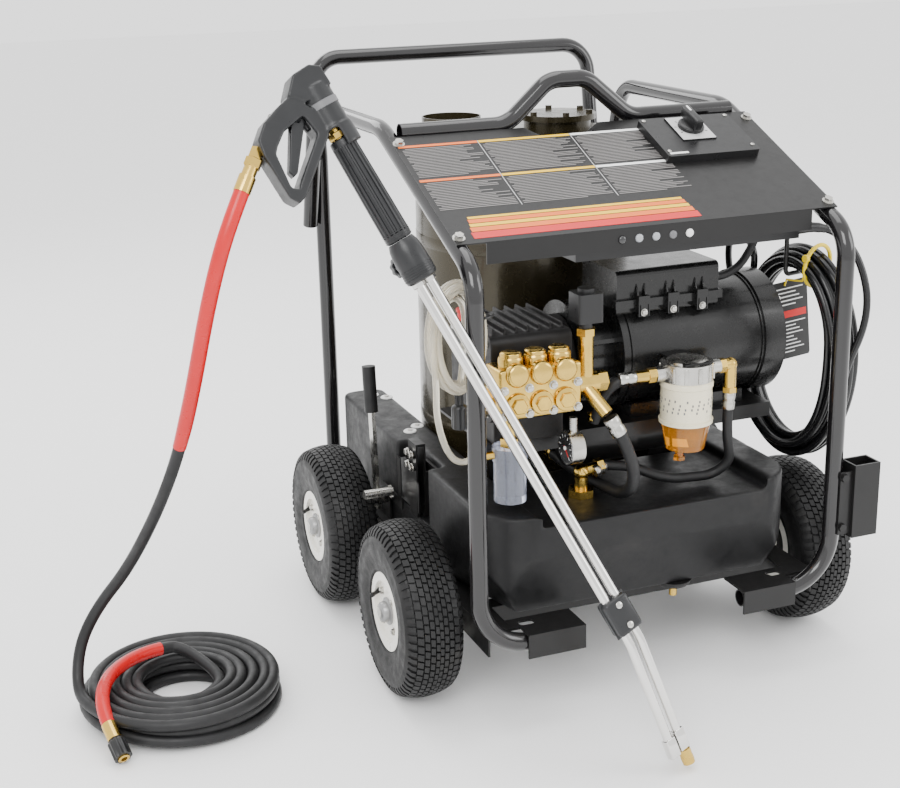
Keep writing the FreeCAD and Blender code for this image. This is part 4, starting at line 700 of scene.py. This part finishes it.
def clear_tube():
    """Chemical pick-up hose, folded into a tied hank, with its weighted strainer."""
    grid = [(0, 0), (1, 0), (1, 1), (0, 1), (0, 2), (1, 2)]
    points = [Vector(p) for p in CLEAR_RUN]
    start = math.radians(200)
    for loop, _, share, depth, level in hank_steps(grid, 14):
        angle = start - 2 * math.pi * share
        wide = 40.0 - 10.0 * depth + 1.5 * math.sin(2.1 * loop)
        tall = 77.0 - 9.6 * depth + 2.0 * math.sin(3.3 * loop) * max(0.0, -math.sin(angle))
        points.append(CLEAR_AT + Vector((wide * math.cos(angle), -9.3 + 9.3 * level,
                                         tall * math.sin(angle))))
    points += [CLEAR_AT + Vector(p) for p in ((-27, 7, 12), (-21, 4, 44), (-4, 2, 58), (10, 0, 44),
                                              (10, 0, 0), (4, 0, -50), (0, 0, -78))]
    tube = cord_curve("clear_tube", points, CLEAR_D, "clear_vinyl", "clear_tube_run",
                      "clear_tube_hank")
    line = centreline(tube)
    total = length_of(line)
    bm = bmesh.new()
    lathe(bm, CLEAR_AT - UP * 77, -UP,
          [(0, 5), (3, 6), (14, 6), (17, 10.4), (19, 11), (46, 11), (48, 9.5)], 32, 0, 16, 0.7)
    strainer = piece("tube_strainer", bm, M["black_plastic"])
    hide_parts("siphon_strainer")
    bm = bmesh.new()
    loop = []
    for i in range(33):
        a = 2 * math.pi * i / 32
        loop.append(CLEAR_AT + Vector((30 + 19 * math.cos(a), 17.5 * math.sin(a), 28)))
    sweep_path(bm, loop, 1.9, 8)
    tie = piece("tube_tie", bm, M["black_plastic"])
    return total


CORD_TOTALS = [gun_hose(), power_cord(), clear_tube()]
print("cord lengths mm", [round(v) for v in CORD_TOTALS])

# ---------------------------------------------------------------- wheels
WHEEL_R = 132.0
WHEEL_X = 326.5
WHEELS = (("front_left", -1, -190.0), ("front_right", 1, -190.0),
          ("rear_left", -1, 170.5), ("rear_right", 1, 170.5))


def tyre(place, side, y):
    """Carcass of revolution with skewed tread blocks and shoulder lugs."""
    bm = bmesh.new()
    centre = Vector((side * WHEEL_X, y, WHEEL_R))
    half = [(29.6, 52.4), (29.6, 59.9), (37.6, 60.4), (39.0, 63), (38.6, 66), (40.4, 72), (42.2, 82),
            (42.9, 92), (42.2, 101), (42.8, 103), (42.4, 105), (40.5, 111), (37.5, 117),
            (34.5, 121), (29.0, 123.0), (15.0, 125.8), (0.0, 126.8)]
    profile = half + [(-a, r) for a, r in reversed(half[:-1])]
    lathe(bm, centre, Vector((1, 0, 0)), profile, 96)
    pitches = 62
    rows = ((0.4, 5.6, 0.0), (7.2, 13.4, 0.5), (15.0, 21.6, 0.0), (23.2, 31.5, 0.5))
    for i in range(pitches):
        for way in (-1, 1):
            for low, high, shift in rows:
                corners = []
                for along in (low, high):
                    skew = 0.55 * along / 31.5
                    top = WHEEL_R - 5.0 * (along / 29.0) ** 2 - 0.1
                    for edge in (0.06, 0.84):
                        pitch = i + edge + shift + skew * way + 0.5 * (way > 0)
                        a = 2 * math.pi * pitch / pitches
                        for r in (top - 4.8, top):
                            corners.append(bm.verts.new(centre + Vector((
                                way * along, r * math.cos(a), r * math.sin(a)))))
                for q in ((0, 1, 3, 2), (4, 6, 7, 5), (0, 4, 5, 1), (2, 3, 7, 6), (1, 5, 7, 3)):
                    bm.faces.new([corners[k] for k in q])
            a0 = 2 * math.pi * (i + 0.3 * way + 0.5 * (way > 0)) / pitches
            lug = []
            for along, r in ((32.0, 124.0), (37.4, 119.5), (41.0, 112.0)):
                for edge in (0.08, 0.62):
                    a = a0 + 2 * math.pi * edge / pitches
                    for lift in (-1.5, 1.6):
                        lug.append(bm.verts.new(centre + Vector((
                            way * (along + lift * 0.5), (r + lift) * math.cos(a),
                            (r + lift) * math.sin(a)))))
            for k in (0, 4):
                for q in ((0, 1, 5, 4), (2, 6, 7, 3), (1, 3, 7, 5), (0, 4, 6, 2)):
                    bm.faces.new([lug[k + n] for n in q])
            bm.faces.new([lug[n] for n in (0, 2, 3, 1)])
            bm.faces.new([lug[n] for n in (8, 9, 11, 10)])
    obj = piece("tread_" + place, bm, M["tyre"], "wheel_" + place, sharp=32.0)
    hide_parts("tyre_" + place)


def hub_details(place, side, y):
    """Hub cap, washer and valve stem on the outer side of a rim."""
    out = Vector((side, 0, 0))
    centre = Vector((side * WHEEL_X, y, WHEEL_R))
    bm = bmesh.new()
    lathe(bm, centre + out * 29.4, out, [(0, 19), (1.2, 20.5), (4, 20.5), (5, 19), (5.5, 15.5),
                                         (12, 14.8), (14.5, 13), (15.8, 9), (16.2, 3)], 40)
    for i in range(4):
        spot = centre + out * 30.9 + spokes(math.pi / 4 + i * math.pi / 2, False)[0] * 33
        lathe(bm, spot, out, [(0, 6.6), (1.2, 6.6), (1.3, 5), (4.6, 4.6), (5.2, 3.4)], 6, 1)
    away = spokes(0.4, False)[0]
    valve = centre + out * 30.5 + away * 43
    lean = (out - away * 0.5).normalized()
    lathe(bm, valve, lean, [(0, 4.2), (5, 3.4), (12, 3.0), (13, 3.6), (17, 3.6), (18, 2.6)], 16, 2)
    piece("hub_cap_" + place, bm, [HUB_GREY, M["zinc"], M["black_plastic"]],
          "wheel_" + place)


for wheel in WHEELS:
    tyre(*wheel)
    hub_details(*wheel)


# ---------------------------------------------------------------- lance and gun
def fluted(bm, origin, direction, profile, flutes, share, mat=0, per=8):
    """Like lathe, with lengthwise grooves; profile rows are (along, radius, groove depth)."""
    u, v = axes_for(direction)
    count = flutes * per
    rings = []
    for along, radius, depth in profile:
        ring = []
        for i in range(count):
            phase = (i % per) / per
            r = radius - (depth if phase < share else 0.0)
            a = 2 * math.pi * i / count
            spoke = (u * math.cos(a) + v * math.sin(a)) * r
            ring.append(bm.verts.new(origin + direction * along + spoke))
        rings.append(ring)
    skin(bm, rings, mat)


def lance_grip():
    """Moulded grip with lengthwise ribs, over the pipe."""
    bm = bmesh.new()
    length = GRIP_END - GRIP_START
    fluted(bm, on_lance(GRIP_START), LANCE_DIR,
           [(0, 15, 0), (1.5, 17.6, 0), (9, 18, 0), (12, 18, 1.9), (length * 0.5, 17.4, 1.9),
            (length - 12, 16.6, 1.9), (length - 9, 16.6, 0), (length - 1.5, 16.2, 0), (length, 14.6, 0)],
           16, 0.4)
    for k in range(4):
        lathe(bm, on_lance(GRIP_START + 2 + 3.0 * k), LANCE_DIR,
              [(0, 17.2), (0.5, 18.4), (1.6, 18.4), (2.1, 17.2)], 48)
    obj = piece("lance_grip", bm, M["gun_plastic"], sharp=30)
    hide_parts("lance_mouldings")


def lance_valve():
    """Valve block with grip rings, the two pipes' entries and its turning knob."""
    bm = bmesh.new()
    length = GRIP_START - VALVE_START
    lathe(bm, on_lance(VALVE_START), LANCE_DIR,
          [(0, 17), (2, 20.5), (6, 21.8), (20, 22), (40, 21.6), (length - 8, 20), (length - 0.4, 17)], 48)
    lathe(bm, on_lance(KNOB_ALONG, 0, -8), -GUN_NORMAL,
          [(0, 15), (17, 14.2), (20, 13), (22, 12.4)], 40)
    for sign in (-1, 1):
        lathe(bm, on_lance(VALVE_START - 6, sign * PIPE_SIDE), LANCE_DIR,
              [(0, 8.2), (1, 9.2), (8, 9.2)], 6, 1)
    for k in range(5):
        lathe(bm, on_lance(VALVE_START + 6 + k * 3.2), LANCE_DIR,
              [(0, 21.5), (0.6, 22.4), (1.4, 22.4), (2, 21.5)], 48)
    obj = piece("lance_valve", bm, [M["gun_plastic"], M["chrome"]])
    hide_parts("lance_mouldings")
    bm = bmesh.new()
    lathe(bm, on_lance(KNOB_ALONG, 0, -30.4), -GUN_NORMAL,
          [(0, 15), (1, 16), (9, 16), (11, 15.2), (13.4, 12)], 48, 0, 10, 1.6)
    prism(bm, [(-13, -3.2), (13, -3.2), (13, 3.2), (-13, 3.2)],
          lambda a, b: on_lance(KNOB_ALONG + a, b, -41.5), -GUN_NORMAL, 3.0, 0, 1.0)
    knob = piece("lance_knob", bm, M["gun_plastic"], "lance_control")
    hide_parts("valve_knob")


def lance_clamp():
    """Two-part clamp round both pipes, with its parting line and screws."""
    bm = bmesh.new()
    corner = on_lance(14) - GUN_SIDE * 19 - GUN_NORMAL * 13
    block(bm, corner, GUN_SIDE * 38, GUN_NORMAL * 26, LANCE_DIR * 50, 0, 5.0)
    for along in (24, 54):
        for way in (-1, 1):
            lathe(bm, on_lance(along, 0, way * 12.8), GUN_NORMAL * way,
                  [(0, 4.6), (1.6, 4.6), (2.2, 3.6)], 20, 1)
    block(bm, on_lance(12, -20.5, -1.2), GUN_SIDE * 41, GUN_NORMAL * 2.4, LANCE_DIR * 54, 0, 0.8)
    obj = piece("lance_clamp", bm, [M["gun_plastic"], M["zinc"]])
    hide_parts("lance_mouldings")


def gun_details():
    """Collar round the barrel, assembly screws, brass hexagons and the red trigger stop."""
    bm = bmesh.new()
    lathe(bm, on_lance(GUN_START + 30), LANCE_DIR,
          [(0, 21.6), (0.8, 22.9), (9, 22.9), (9.8, 21.6)], 56, 0)
    for along, aside in ((68, 2), (54, 60), (26, 96), (-48, 94)):
        lathe(bm, on_lance(GUN_START + along, aside, -15.6), -GUN_NORMAL,
              [(0, 4.2), (1.4, 4.2), (1.9, 3.2)], 20, 1)
    lathe(bm, on_lance(GRIP_END + 1), LANCE_DIR, [(0, 12.8), (1, 13.6), (8, 13.6), (9, 12.6)], 6, 2)
    base = on_lance(GUN_START + INLET_ALONG, INLET_ASIDE)
    lathe(bm, base - INLET_DIR * 12, INLET_DIR,
          [(0, 9), (14, 9), (14.2, 10.4), (15, 11.2), (25, 11.2), (26, 10.4)], 6, 2)
    lathe(bm, on_lance(GUN_START + 44, 30, -8), GUN_SIDE, [(0, 5), (9, 5), (11, 4)], 16, 3)
    piece("gun_trim", bm, [SLEEVE_GREY, M["zinc"], M["brass"], RED])


def reshape_gun(obj):
    """Draw the crown and the handle's back in a little, to the real gun's slimmer outline."""
    crown, back, draw = 58.0, 84.0, 0.3
    origin = (on_lance(GUN_START) + STAND) * MM
    for vert in obj.data.vertices:
        along = (vert.co - origin).dot(LANCE_DIR) / MM
        aside = (vert.co - origin).dot(GUN_SIDE) / MM
        if along > crown:
            vert.co -= LANCE_DIR * ((along - crown) * draw * MM)
        if aside > back:
            vert.co -= GUN_SIDE * ((aside - back) * draw * MM)


lance_grip()
lance_valve()
lance_clamp()
gun_details()
reshape_gun(moulded("gun_body", "gun_shell", 0.0013, 24, "gun_plastic"))
moulded("gun_trigger", "gun_trigger_blade", 0.001, 5, "gun_plastic", "trigger")
moulded("tank", "tank_moulding", 0.0032, 7, "black_poly")
moulded("pump_crankcase", "pump_casting", 0.0014, 4, "dark_casting")


# ---------------------------------------------------------------- panel print and lamps
def panel_print():
    """Coloured stripes and plain rules printed on the sloped panel."""
    bm = bmesh.new()

    def bar(x0, x1, s0, s1, mat, skew=0.0):
        outline = [(x0, s0), (x1, s0), (x1 - skew, s1), (x0 + skew, s1)]
        prism(bm, outline, lambda a, b: on_panel(a, b, 0.08), PANEL_OUT, 0.3, mat)

    stripes = ((9.5, 23.5, 2), (25.0, 35.0, 1), (36.5, 43.5, 0), (45.0, 53.5, 1), (55.0, 60.0, 0))
    for low, high, mat in stripes:
        bar(-265 + 0.18 * low, 77 - 0.16 * low, low, high, mat)
    columns = ((-288, -168), (-166, -22), (-20, 102))
    for (x0, x1), head in zip(columns, (1, 0, 3)):
        for top, bottom in ((249, 162), (158, 78)):
            bar(x0, x1, top - 5.5, top, head)
            pitch = 3.9
            for row in range(int((top - 9 - bottom) / pitch)):
                high = top - 9 - row * pitch
                indent = 3 if row % 5 else 8
                end = x1 - 3 - random.choice((0, 0, 4, 9, 22, 41))
                bar(x0 + indent, end, high - 1.5, high, 5)
    for x in (-167, -21):
        bar(x - 0.5, x + 0.5, 78, 249, 4)
    piece("panel_print", bm, [YELLOW, ORANGE, RED, WHITE, GREY, PALE], smooth=False)


SWITCH_AT = (162.0, 216.0)


def switch_details():
    """Grey escutcheon with tick marks round the rotary switch, and its white pointer."""
    bm = bmesh.new()
    prism(bm, [(134.5, 184.5), (189.5, 184.5), (189.5, 247.5), (134.5, 247.5)],
          lambda a, b: on_panel(a, b, 13.9), PANEL_OUT, 0.8, 0, 0.25, 1)
    for i in range(7):
        a = math.radians(-30 + i * 40)
        inner, outer, half = 22.0, 25.5, 0.8
        u = Vector((math.cos(a), math.sin(a)))
        w = Vector((-u.y, u.x)) * half
        c = Vector(SWITCH_AT)
        outline = [c + u * inner - w, c + u * outer - w, c + u * outer + w, c + u * inner + w]
        prism(bm, outline, lambda a, b: on_panel(a, b, 14.7), PANEL_OUT, 0.25, 1)
    prism(bm, [(97, 152), (127, 152), (127, 156), (97, 156)],
          lambda a, b: on_panel(a, b, 12.0), PANEL_OUT, 0.35, 2)
    for x, s in ((99, 160), (238, 160), (99, 247), (238, 247)):
        lathe(bm, on_panel(x, s, 11.9), PANEL_OUT, [(0, 3.2), (1.3, 3.2), (1.9, 2.2)], 18, 3)
    piece("switch_escutcheon", bm, [GREY, LENS_DARK, WHITE, M["zinc"]])
    bm = bmesh.new()
    lathe(bm, on_panel(*SWITCH_AT, 14.8), PANEL_OUT,
          [(0, 19.6), (1, 20), (5, 20), (6.6, 18.6), (7.2, 17)], 48, 0, 24, 0.7)
    prism(bm, [(155.5, 194), (168.5, 194), (168.5, 242), (155.5, 242)],
          lambda a, b: on_panel(a, b, 20.5), PANEL_OUT, 17.5, 0, 2.4)
    prism(bm, [(160.6, 226), (163.4, 226), (163.4, 240), (160.6, 240)],
          lambda a, b: on_panel(a, b, 37.9), PANEL_OUT, 0.4, 1)
    knob = piece("switch_handle", bm, [M["black_plastic"], WHITE], "rotary_switch")
    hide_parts("switch_knob")


def lamps():
    """Five round lenses in the lip."""
    lenses = (LENS_DARK, M["lamp_grey"], M["lamp_grey"], SLEEVE_GREY, LENS_WHITE)
    bm = bmesh.new()
    for i in range(-2, 3):
        spot = Vector((i * 26.0, FRONT_Y + 2.4, FRONT_Z - 16))
        lathe(bm, spot, FRONT, [(0, 5.8), (3.4, 5.8), (4.6, 5.0), (5.4, 3.4), (5.7, 1.2)], 28, i + 2)
    obj = piece("lamp_lenses", bm, lenses)
    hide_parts("status_lights")


panel_print()
switch_details()
lamps()


# ---------------------------------------------------------------- pump, motor and filter details
SHAFT_Y, SHAFT_Z = -165.0, 484.0
MOTOR_END = 261.5
FILTER_X, FILTER_Y = 70.0, -297.0
HEATER_Y = 124.0


def motor_details():
    """Rolled seams, end-bell slots, through bolts and the terminal box's clamp ears; the slots are dark
    plates, painted shade for their openings.
    """
    bm = bmesh.new()
    axis = Vector((1, 0, 0))
    centre = Vector((0, SHAFT_Y, SHAFT_Z))
    for x in (4.0, 222.0):
        lathe(bm, centre + axis * x, axis, [(0, 89.2), (0.8, 91.2), (5, 91.2), (5.8, 89.2)], 80)
    # Slots: raised dark plates, painted shade standing in for the open slots in the end bell.
    for i in range(20):
        radial, around = spokes(2 * math.pi * i / 20, False)
        corner = centre + axis * (MOTOR_END + 0.1) + radial * 40 - around * 2
        block(bm, corner, axis * 1.6, radial * 40, around * 4, 1, 0.5)
    lathe(bm, centre + axis * MOTOR_END, axis, [(0, 30), (1.4, 29), (1.8, 22)], 48)
    for a in (0.8, 2.4, 3.9, 5.5):
        spot = centre + axis * MOTOR_END + spokes(a, False)[0] * 87
        lathe(bm, spot, axis, [(0, 5), (4, 5), (4.4, 4)], 6, 2)
    for x in (28, 76, 124):
        lathe(bm, Vector((x, SHAFT_Y - 79.5, SHAFT_Z + 68)), FRONT,
              [(0, 5.4), (1, 5.4), (1.1, 4.4), (4, 4.0), (4.8, 3)], 20, 2)
        for shift in (-7.5, 5.0):
            prism(bm, [(-80, 62), (-66, 62), (-62, 106), (-66, 108), (-76, 84), (-80, 80)],
                  lambda a, b, x=x, shift=shift: Vector((x + shift, SHAFT_Y + a, SHAFT_Z + b)),
                  axis, 2.6, 0, 0.6)
    piece("motor_trim", bm, [M["motor_black"], LENS_DARK, M["zinc"]])


def pump_details():
    """Sight glass, cover bolts and red oil filler on the crankcase."""
    bm = bmesh.new()
    cover_x = -221.5
    lathe(bm, Vector((cover_x, -190, 478)), LEFT,
          [(0, 15), (3, 15), (4, 13.6), (4.1, 11), (3.2, 10)], 32, 0)
    for y in (-252, -134):
        for z in (436, 536):
            lathe(bm, Vector((cover_x, y, z)), LEFT,
                  [(0, 6.4), (1, 6.4), (1.1, 5), (5, 5), (5.6, 4)], 6, 1)
    lathe(bm, Vector((-226, -180, 556)), UP, [(0, 9), (10, 9), (12, 11), (16, 11), (17, 8)], 24, 2)
    piece("pump_trim", bm, [LENS_WHITE, M["zinc"], RED])


def ferrules():
    """Crimps and clamps on the fixed hoses' ends: place, direction, radius, length, material."""
    x, y = FILTER_X, FILTER_Y
    bm = bmesh.new()
    spots = (
        ((x + 72, y, 432), (0, 0.07, -1), 9.4, 26, 1), ((x - 84.2, y, 474), (-1, 0, 0), 9.4, 26, 1),
        ((-71.8, -334.4, 433.2), (0.45, -0.2, -0.86), 11.4, 28, 1),
        ((-41.0, -90, 296), (0, 1, 0.06), 11.0, 24, 0),
        ((-31.6, -238, 325.6), (-0.92, 0, -0.15), 9.4, 8, 0),
        ((-31.6, -238.4, 325.6), (-1, -0.32, -0.3), 9.4, 22, 1),
        ((158.8, -205, 582), (1, 0, 0), 8.4, 12, 2), ((x - 132, y + 30, 407), (0, 0.3, 1), 9.0, 14, 0),
    )
    for origin, direction, radius, length, mat in spots:
        lathe(bm, Vector(origin), Vector(direction),
              [(0, radius - 0.8), (1, radius), (length * 0.4, radius), (length * 0.45, radius - 0.8),
               (length * 0.55, radius - 0.8), (length * 0.6, radius), (length - 1, radius),
               (length, radius - 0.8)], 32, mat)
    piece("hose_ferrules", bm, [M["brass"], M["zinc"], M["black_plastic"]])


def gauge_face():
    """Dark dial with plain pale ticks and a red needle on the gauge's left side."""
    bm = bmesh.new()
    centre = Vector((-110.0, -296.0, 384.0))
    lathe(bm, centre + LEFT * 8.6, LEFT, [(0, 24.2), (0.6, 25), (3, 25), (3.6, 24), (3.6, 22)], 56, 0)
    lathe(bm, centre + LEFT * 12.0, LEFT, [(0, 21.8), (0.5, 21.8)], 56, 1)
    for i in range(11):
        radial, around = spokes(math.radians(-45 + 27 * i), False)
        long = 5.0 if i % 2 == 0 else 3.0
        corner = centre + LEFT * 12.4 + radial * (20 - long) - around * 0.45
        block(bm, corner, LEFT * 0.25, radial * long, around * 0.9, 2)
    needle, side = spokes(3.9, False)
    block(bm, centre + LEFT * 12.6 - side * 0.7 - needle * 4, LEFT * 0.5, needle * 19, side * 1.4, 3)
    lathe(bm, centre + LEFT * 12.4, LEFT, [(0, 3), (1.2, 3), (1.6, 2)], 20, 2)
    piece("gauge_face", bm, [M["zinc"], LENS_DARK, WHITE, RED])


def filter_details():
    """Rolled rims, plain printed band and head ribs on the filter."""
    bm = bmesh.new()
    centre = Vector((FILTER_X, FILTER_Y, 0.0))
    lathe(bm, centre + UP * 452, UP, [(0, 37.1), (1, 38.6), (6, 38.6), (8, 37.2)], 64, 0)
    lathe(bm, centre + UP * 414, UP, [(0, 37.0), (0.3, 37.35), (27.7, 37.35), (28, 37.0)], 64, 0)
    lathe(bm, centre + UP * 398, UP, [(0, 34), (1, 36.5), (4, 39.4), (5, 39.4), (6, 37)], 64, 0)
    for row in range(4):
        for column in range(26):
            if (row * 7 + column * 5) % 11 < 3:
                continue
            radial, around = spokes(2 * math.pi * (column + 0.15 * row) / 26)
            block(bm, centre + UP * (418 + row * 5.6) + radial * 37.2, radial * 0.35, around * 2.2,
                  UP * 3.4, 1)
    for i in range(12):
        radial, around = spokes(2 * math.pi * i / 12)
        corner = centre + UP * 463 + radial * 36.5 - around * 3
        block(bm, corner, radial * 3.2, around * 6, UP * 22, 2, 0.8)
    lathe(bm, centre + UP * 487, UP, [(0, 30), (4, 29), (6, 24), (6.2, 12)], 48, 2)
    piece("filter_trim", bm, [M["cream"], SLEEVE_GREY, M["zinc"]])


def tank_trim():
    """White washers on the tank's raised part and round seam beads on the heater."""
    bm = bmesh.new()
    for x, y in ((-205, 312), (-187, 288), (-193, 118), (-213, 98)):
        lathe(bm, Vector((x, y, 299.9)), UP, [(0, 11), (0.8, 11), (2.2, 9.8), (2.3, 5)], 32, 0)
    piece("pod_washers", bm, LENS_WHITE)
    bm = bmesh.new()
    for z in (170, 742):
        lathe(bm, Vector((0, HEATER_Y, z)), UP, [(0, 172.1), (1.5, 174), (4.5, 174), (6, 172.1)], 128)
    for z in (300, 600):
        lathe(bm, Vector((0, HEATER_Y, z)), UP,
              [(0, 172.05), (2, 172.8), (16, 172.8), (18, 172.05)], 128)
    piece("heater_bands", bm, M["olive_steel"])


def brake_trim():
    """Bright nuts on the brake's bracket, its folded gusset and the tank's drain boss."""
    bm = bmesh.new()
    for y, z in ((-32, 288), (-14, 288), (-32, 308), (-14, 308)):
        lathe(bm, Vector((-257.4, y, z)), LEFT,
              [(0, 7), (1, 7), (1.1, 5.6), (5, 5.4), (5.8, 4.4)], 6, 1)
    lathe(bm, Vector((-280.8, 110, 185)), LEFT,
          [(0, 8.6), (1.2, 8.6), (1.3, 6.8), (6, 6.6), (7, 5)], 6, 1)
    prism(bm, [(-46, 214), (34, 214), (34, 282), (12, 290), (-46, 262)],
          lambda a, b: Vector((-253.6, a, b)), -LEFT, 2.6, 0, 0.4)
    lathe(bm, Vector((60, -290, 149.4)), -UP, [(0, 27), (4, 26), (9, 22), (10, 14)], 40, 0)
    piece("brake_trim", bm, [M["black_steel"], M["zinc"]])


def lance_ends():
    """Steel end blocks on both pipes and the nozzle's knurled collar."""
    bm = bmesh.new()
    u, v = GUN_SIDE, GUN_NORMAL
    for sign, low, high in ((-1, 16, 46), (1, 14, 42)):
        middle = LANCE_TIP + GUN_SIDE * (sign * PIPE_SIDE) + LOWER_DIR * low
        corner = middle - u * 7.6 - v * 7.6
        block(bm, corner, u * 15.2, v * 15.2, LOWER_DIR * (high - low), 0, 1.4)
    tip = LANCE_TIP + LOWER_DIR * 15.8 - GUN_SIDE * PIPE_SIDE
    lathe(bm, tip, -LOWER_DIR, [(0, 8.4), (2, 8.8), (6, 8.8), (7, 7.4), (10, 7.4), (11, 8.9), (18, 8.9),
                                (20, 7.6), (22.4, 5.5)], 36, 1, 12, 0.8)
    piece("lance_ends", bm, [M["chrome"], M["brass"]])


def pump_head():
    """Brass manifold: three rounded valve caps on top, three plugs and eight bolts in front."""
    bm = bmesh.new()
    block(bm, Vector((-232, -320, 444)), LEFT * -124, FRONT * -52, UP * 72, 0, 5.0)
    for i in (-1, 0, 1):
        x = -170 + 36 * i
        lathe(bm, Vector((x, -298, 508)), UP,
              [(0, 17.4), (18, 17.4), (20, 17.0), (22, 15.6), (22.2, 14.8),
               (26, 14.8), (27, 14.2), (28.5, 11), (29, 6)], 40)
        lathe(bm, Vector((x, -316, 508)), FRONT, [(0, 16.6), (8, 16.6), (10, 15.4), (12, 12)], 40)
        lathe(bm, Vector((x, -314, 466)), FRONT, [(0, 17.0), (9, 17.0), (11, 16.0), (12, 13.4)], 40)
        lathe(bm, Vector((x, -325, 466)), FRONT, [(0, 11.4), (6, 11.4), (7, 10.2)], 6)
    for x in (-225, -188, -152, -115):
        for z in (452, 488):
            lathe(bm, Vector((x, -319.6, z)), FRONT,
                  [(0, 6.4), (1.2, 6.4), (1.3, 4.8), (6, 4.8), (6.8, 3.6)], 24, 1)
    lathe(bm, Vector((-232, -294, 476)), LEFT, [(0, 13), (3, 13), (3.2, 11), (9, 11), (10, 9)], 6)
    obj = piece("pump_manifold", bm, [M["brass"], M["zinc"]])
    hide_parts("pump_head")


brake_trim()
lance_ends()
pump_head()
motor_details()
pump_details()
ferrules()
gauge_face()
filter_details()
tank_trim()


# ---------------------------------------------------------------- floor and lights
def stage():
    """Pale floor, an even white sky and four soft lamps aimed at the machine's middle."""
    data = bpy.data.meshes.new("floor")
    reach = 14.0
    corners = [(-reach, -reach, 0), (reach, -reach, 0), (reach, reach, 0), (-reach, reach, 0)]
    data.from_pydata(corners, [], [(0, 1, 2, 3)])
    floor = bpy.data.objects.new("floor", data)
    bpy.context.scene.collection.objects.link(floor)
    data.materials.append(surface("floor_pale", (0.93, 0.93, 0.93), 0.8, mottle=0.005,
                                  grain=(20.0, 0.02, 0.0002)))
    world = bpy.data.worlds.new("studio")
    world.use_nodes = True
    sky = world.node_tree.nodes["Background"]
    sky.inputs["Color"].default_value = (1, 1, 1, 1)
    sky.inputs["Strength"].default_value = 1.9
    bpy.context.scene.world = world
    lights = (
        ("key", (-1.6, -2.4, 2.6), 70.0, 1.6), ("fill", (2.4, -1.6, 1.6), 30.0, 1.4),
        ("top", (0.1, 0.2, 3.2), 45.0, 2.0), ("back", (-0.8, 2.6, 2.2), 25.0, 1.4),
    )
    for name, place, power, size in lights:
        lamp = bpy.data.lights.new(name, "AREA")
        lamp.energy = power
        lamp.size = size
        obj = bpy.data.objects.new(name, lamp)
        obj.location = place
        aim = Vector((0.05, 0.0, 0.45)) - obj.location
        obj.rotation_euler = aim.to_track_quat("-Z", "Y").to_euler()
        bpy.context.scene.collection.objects.link(obj)


stage()
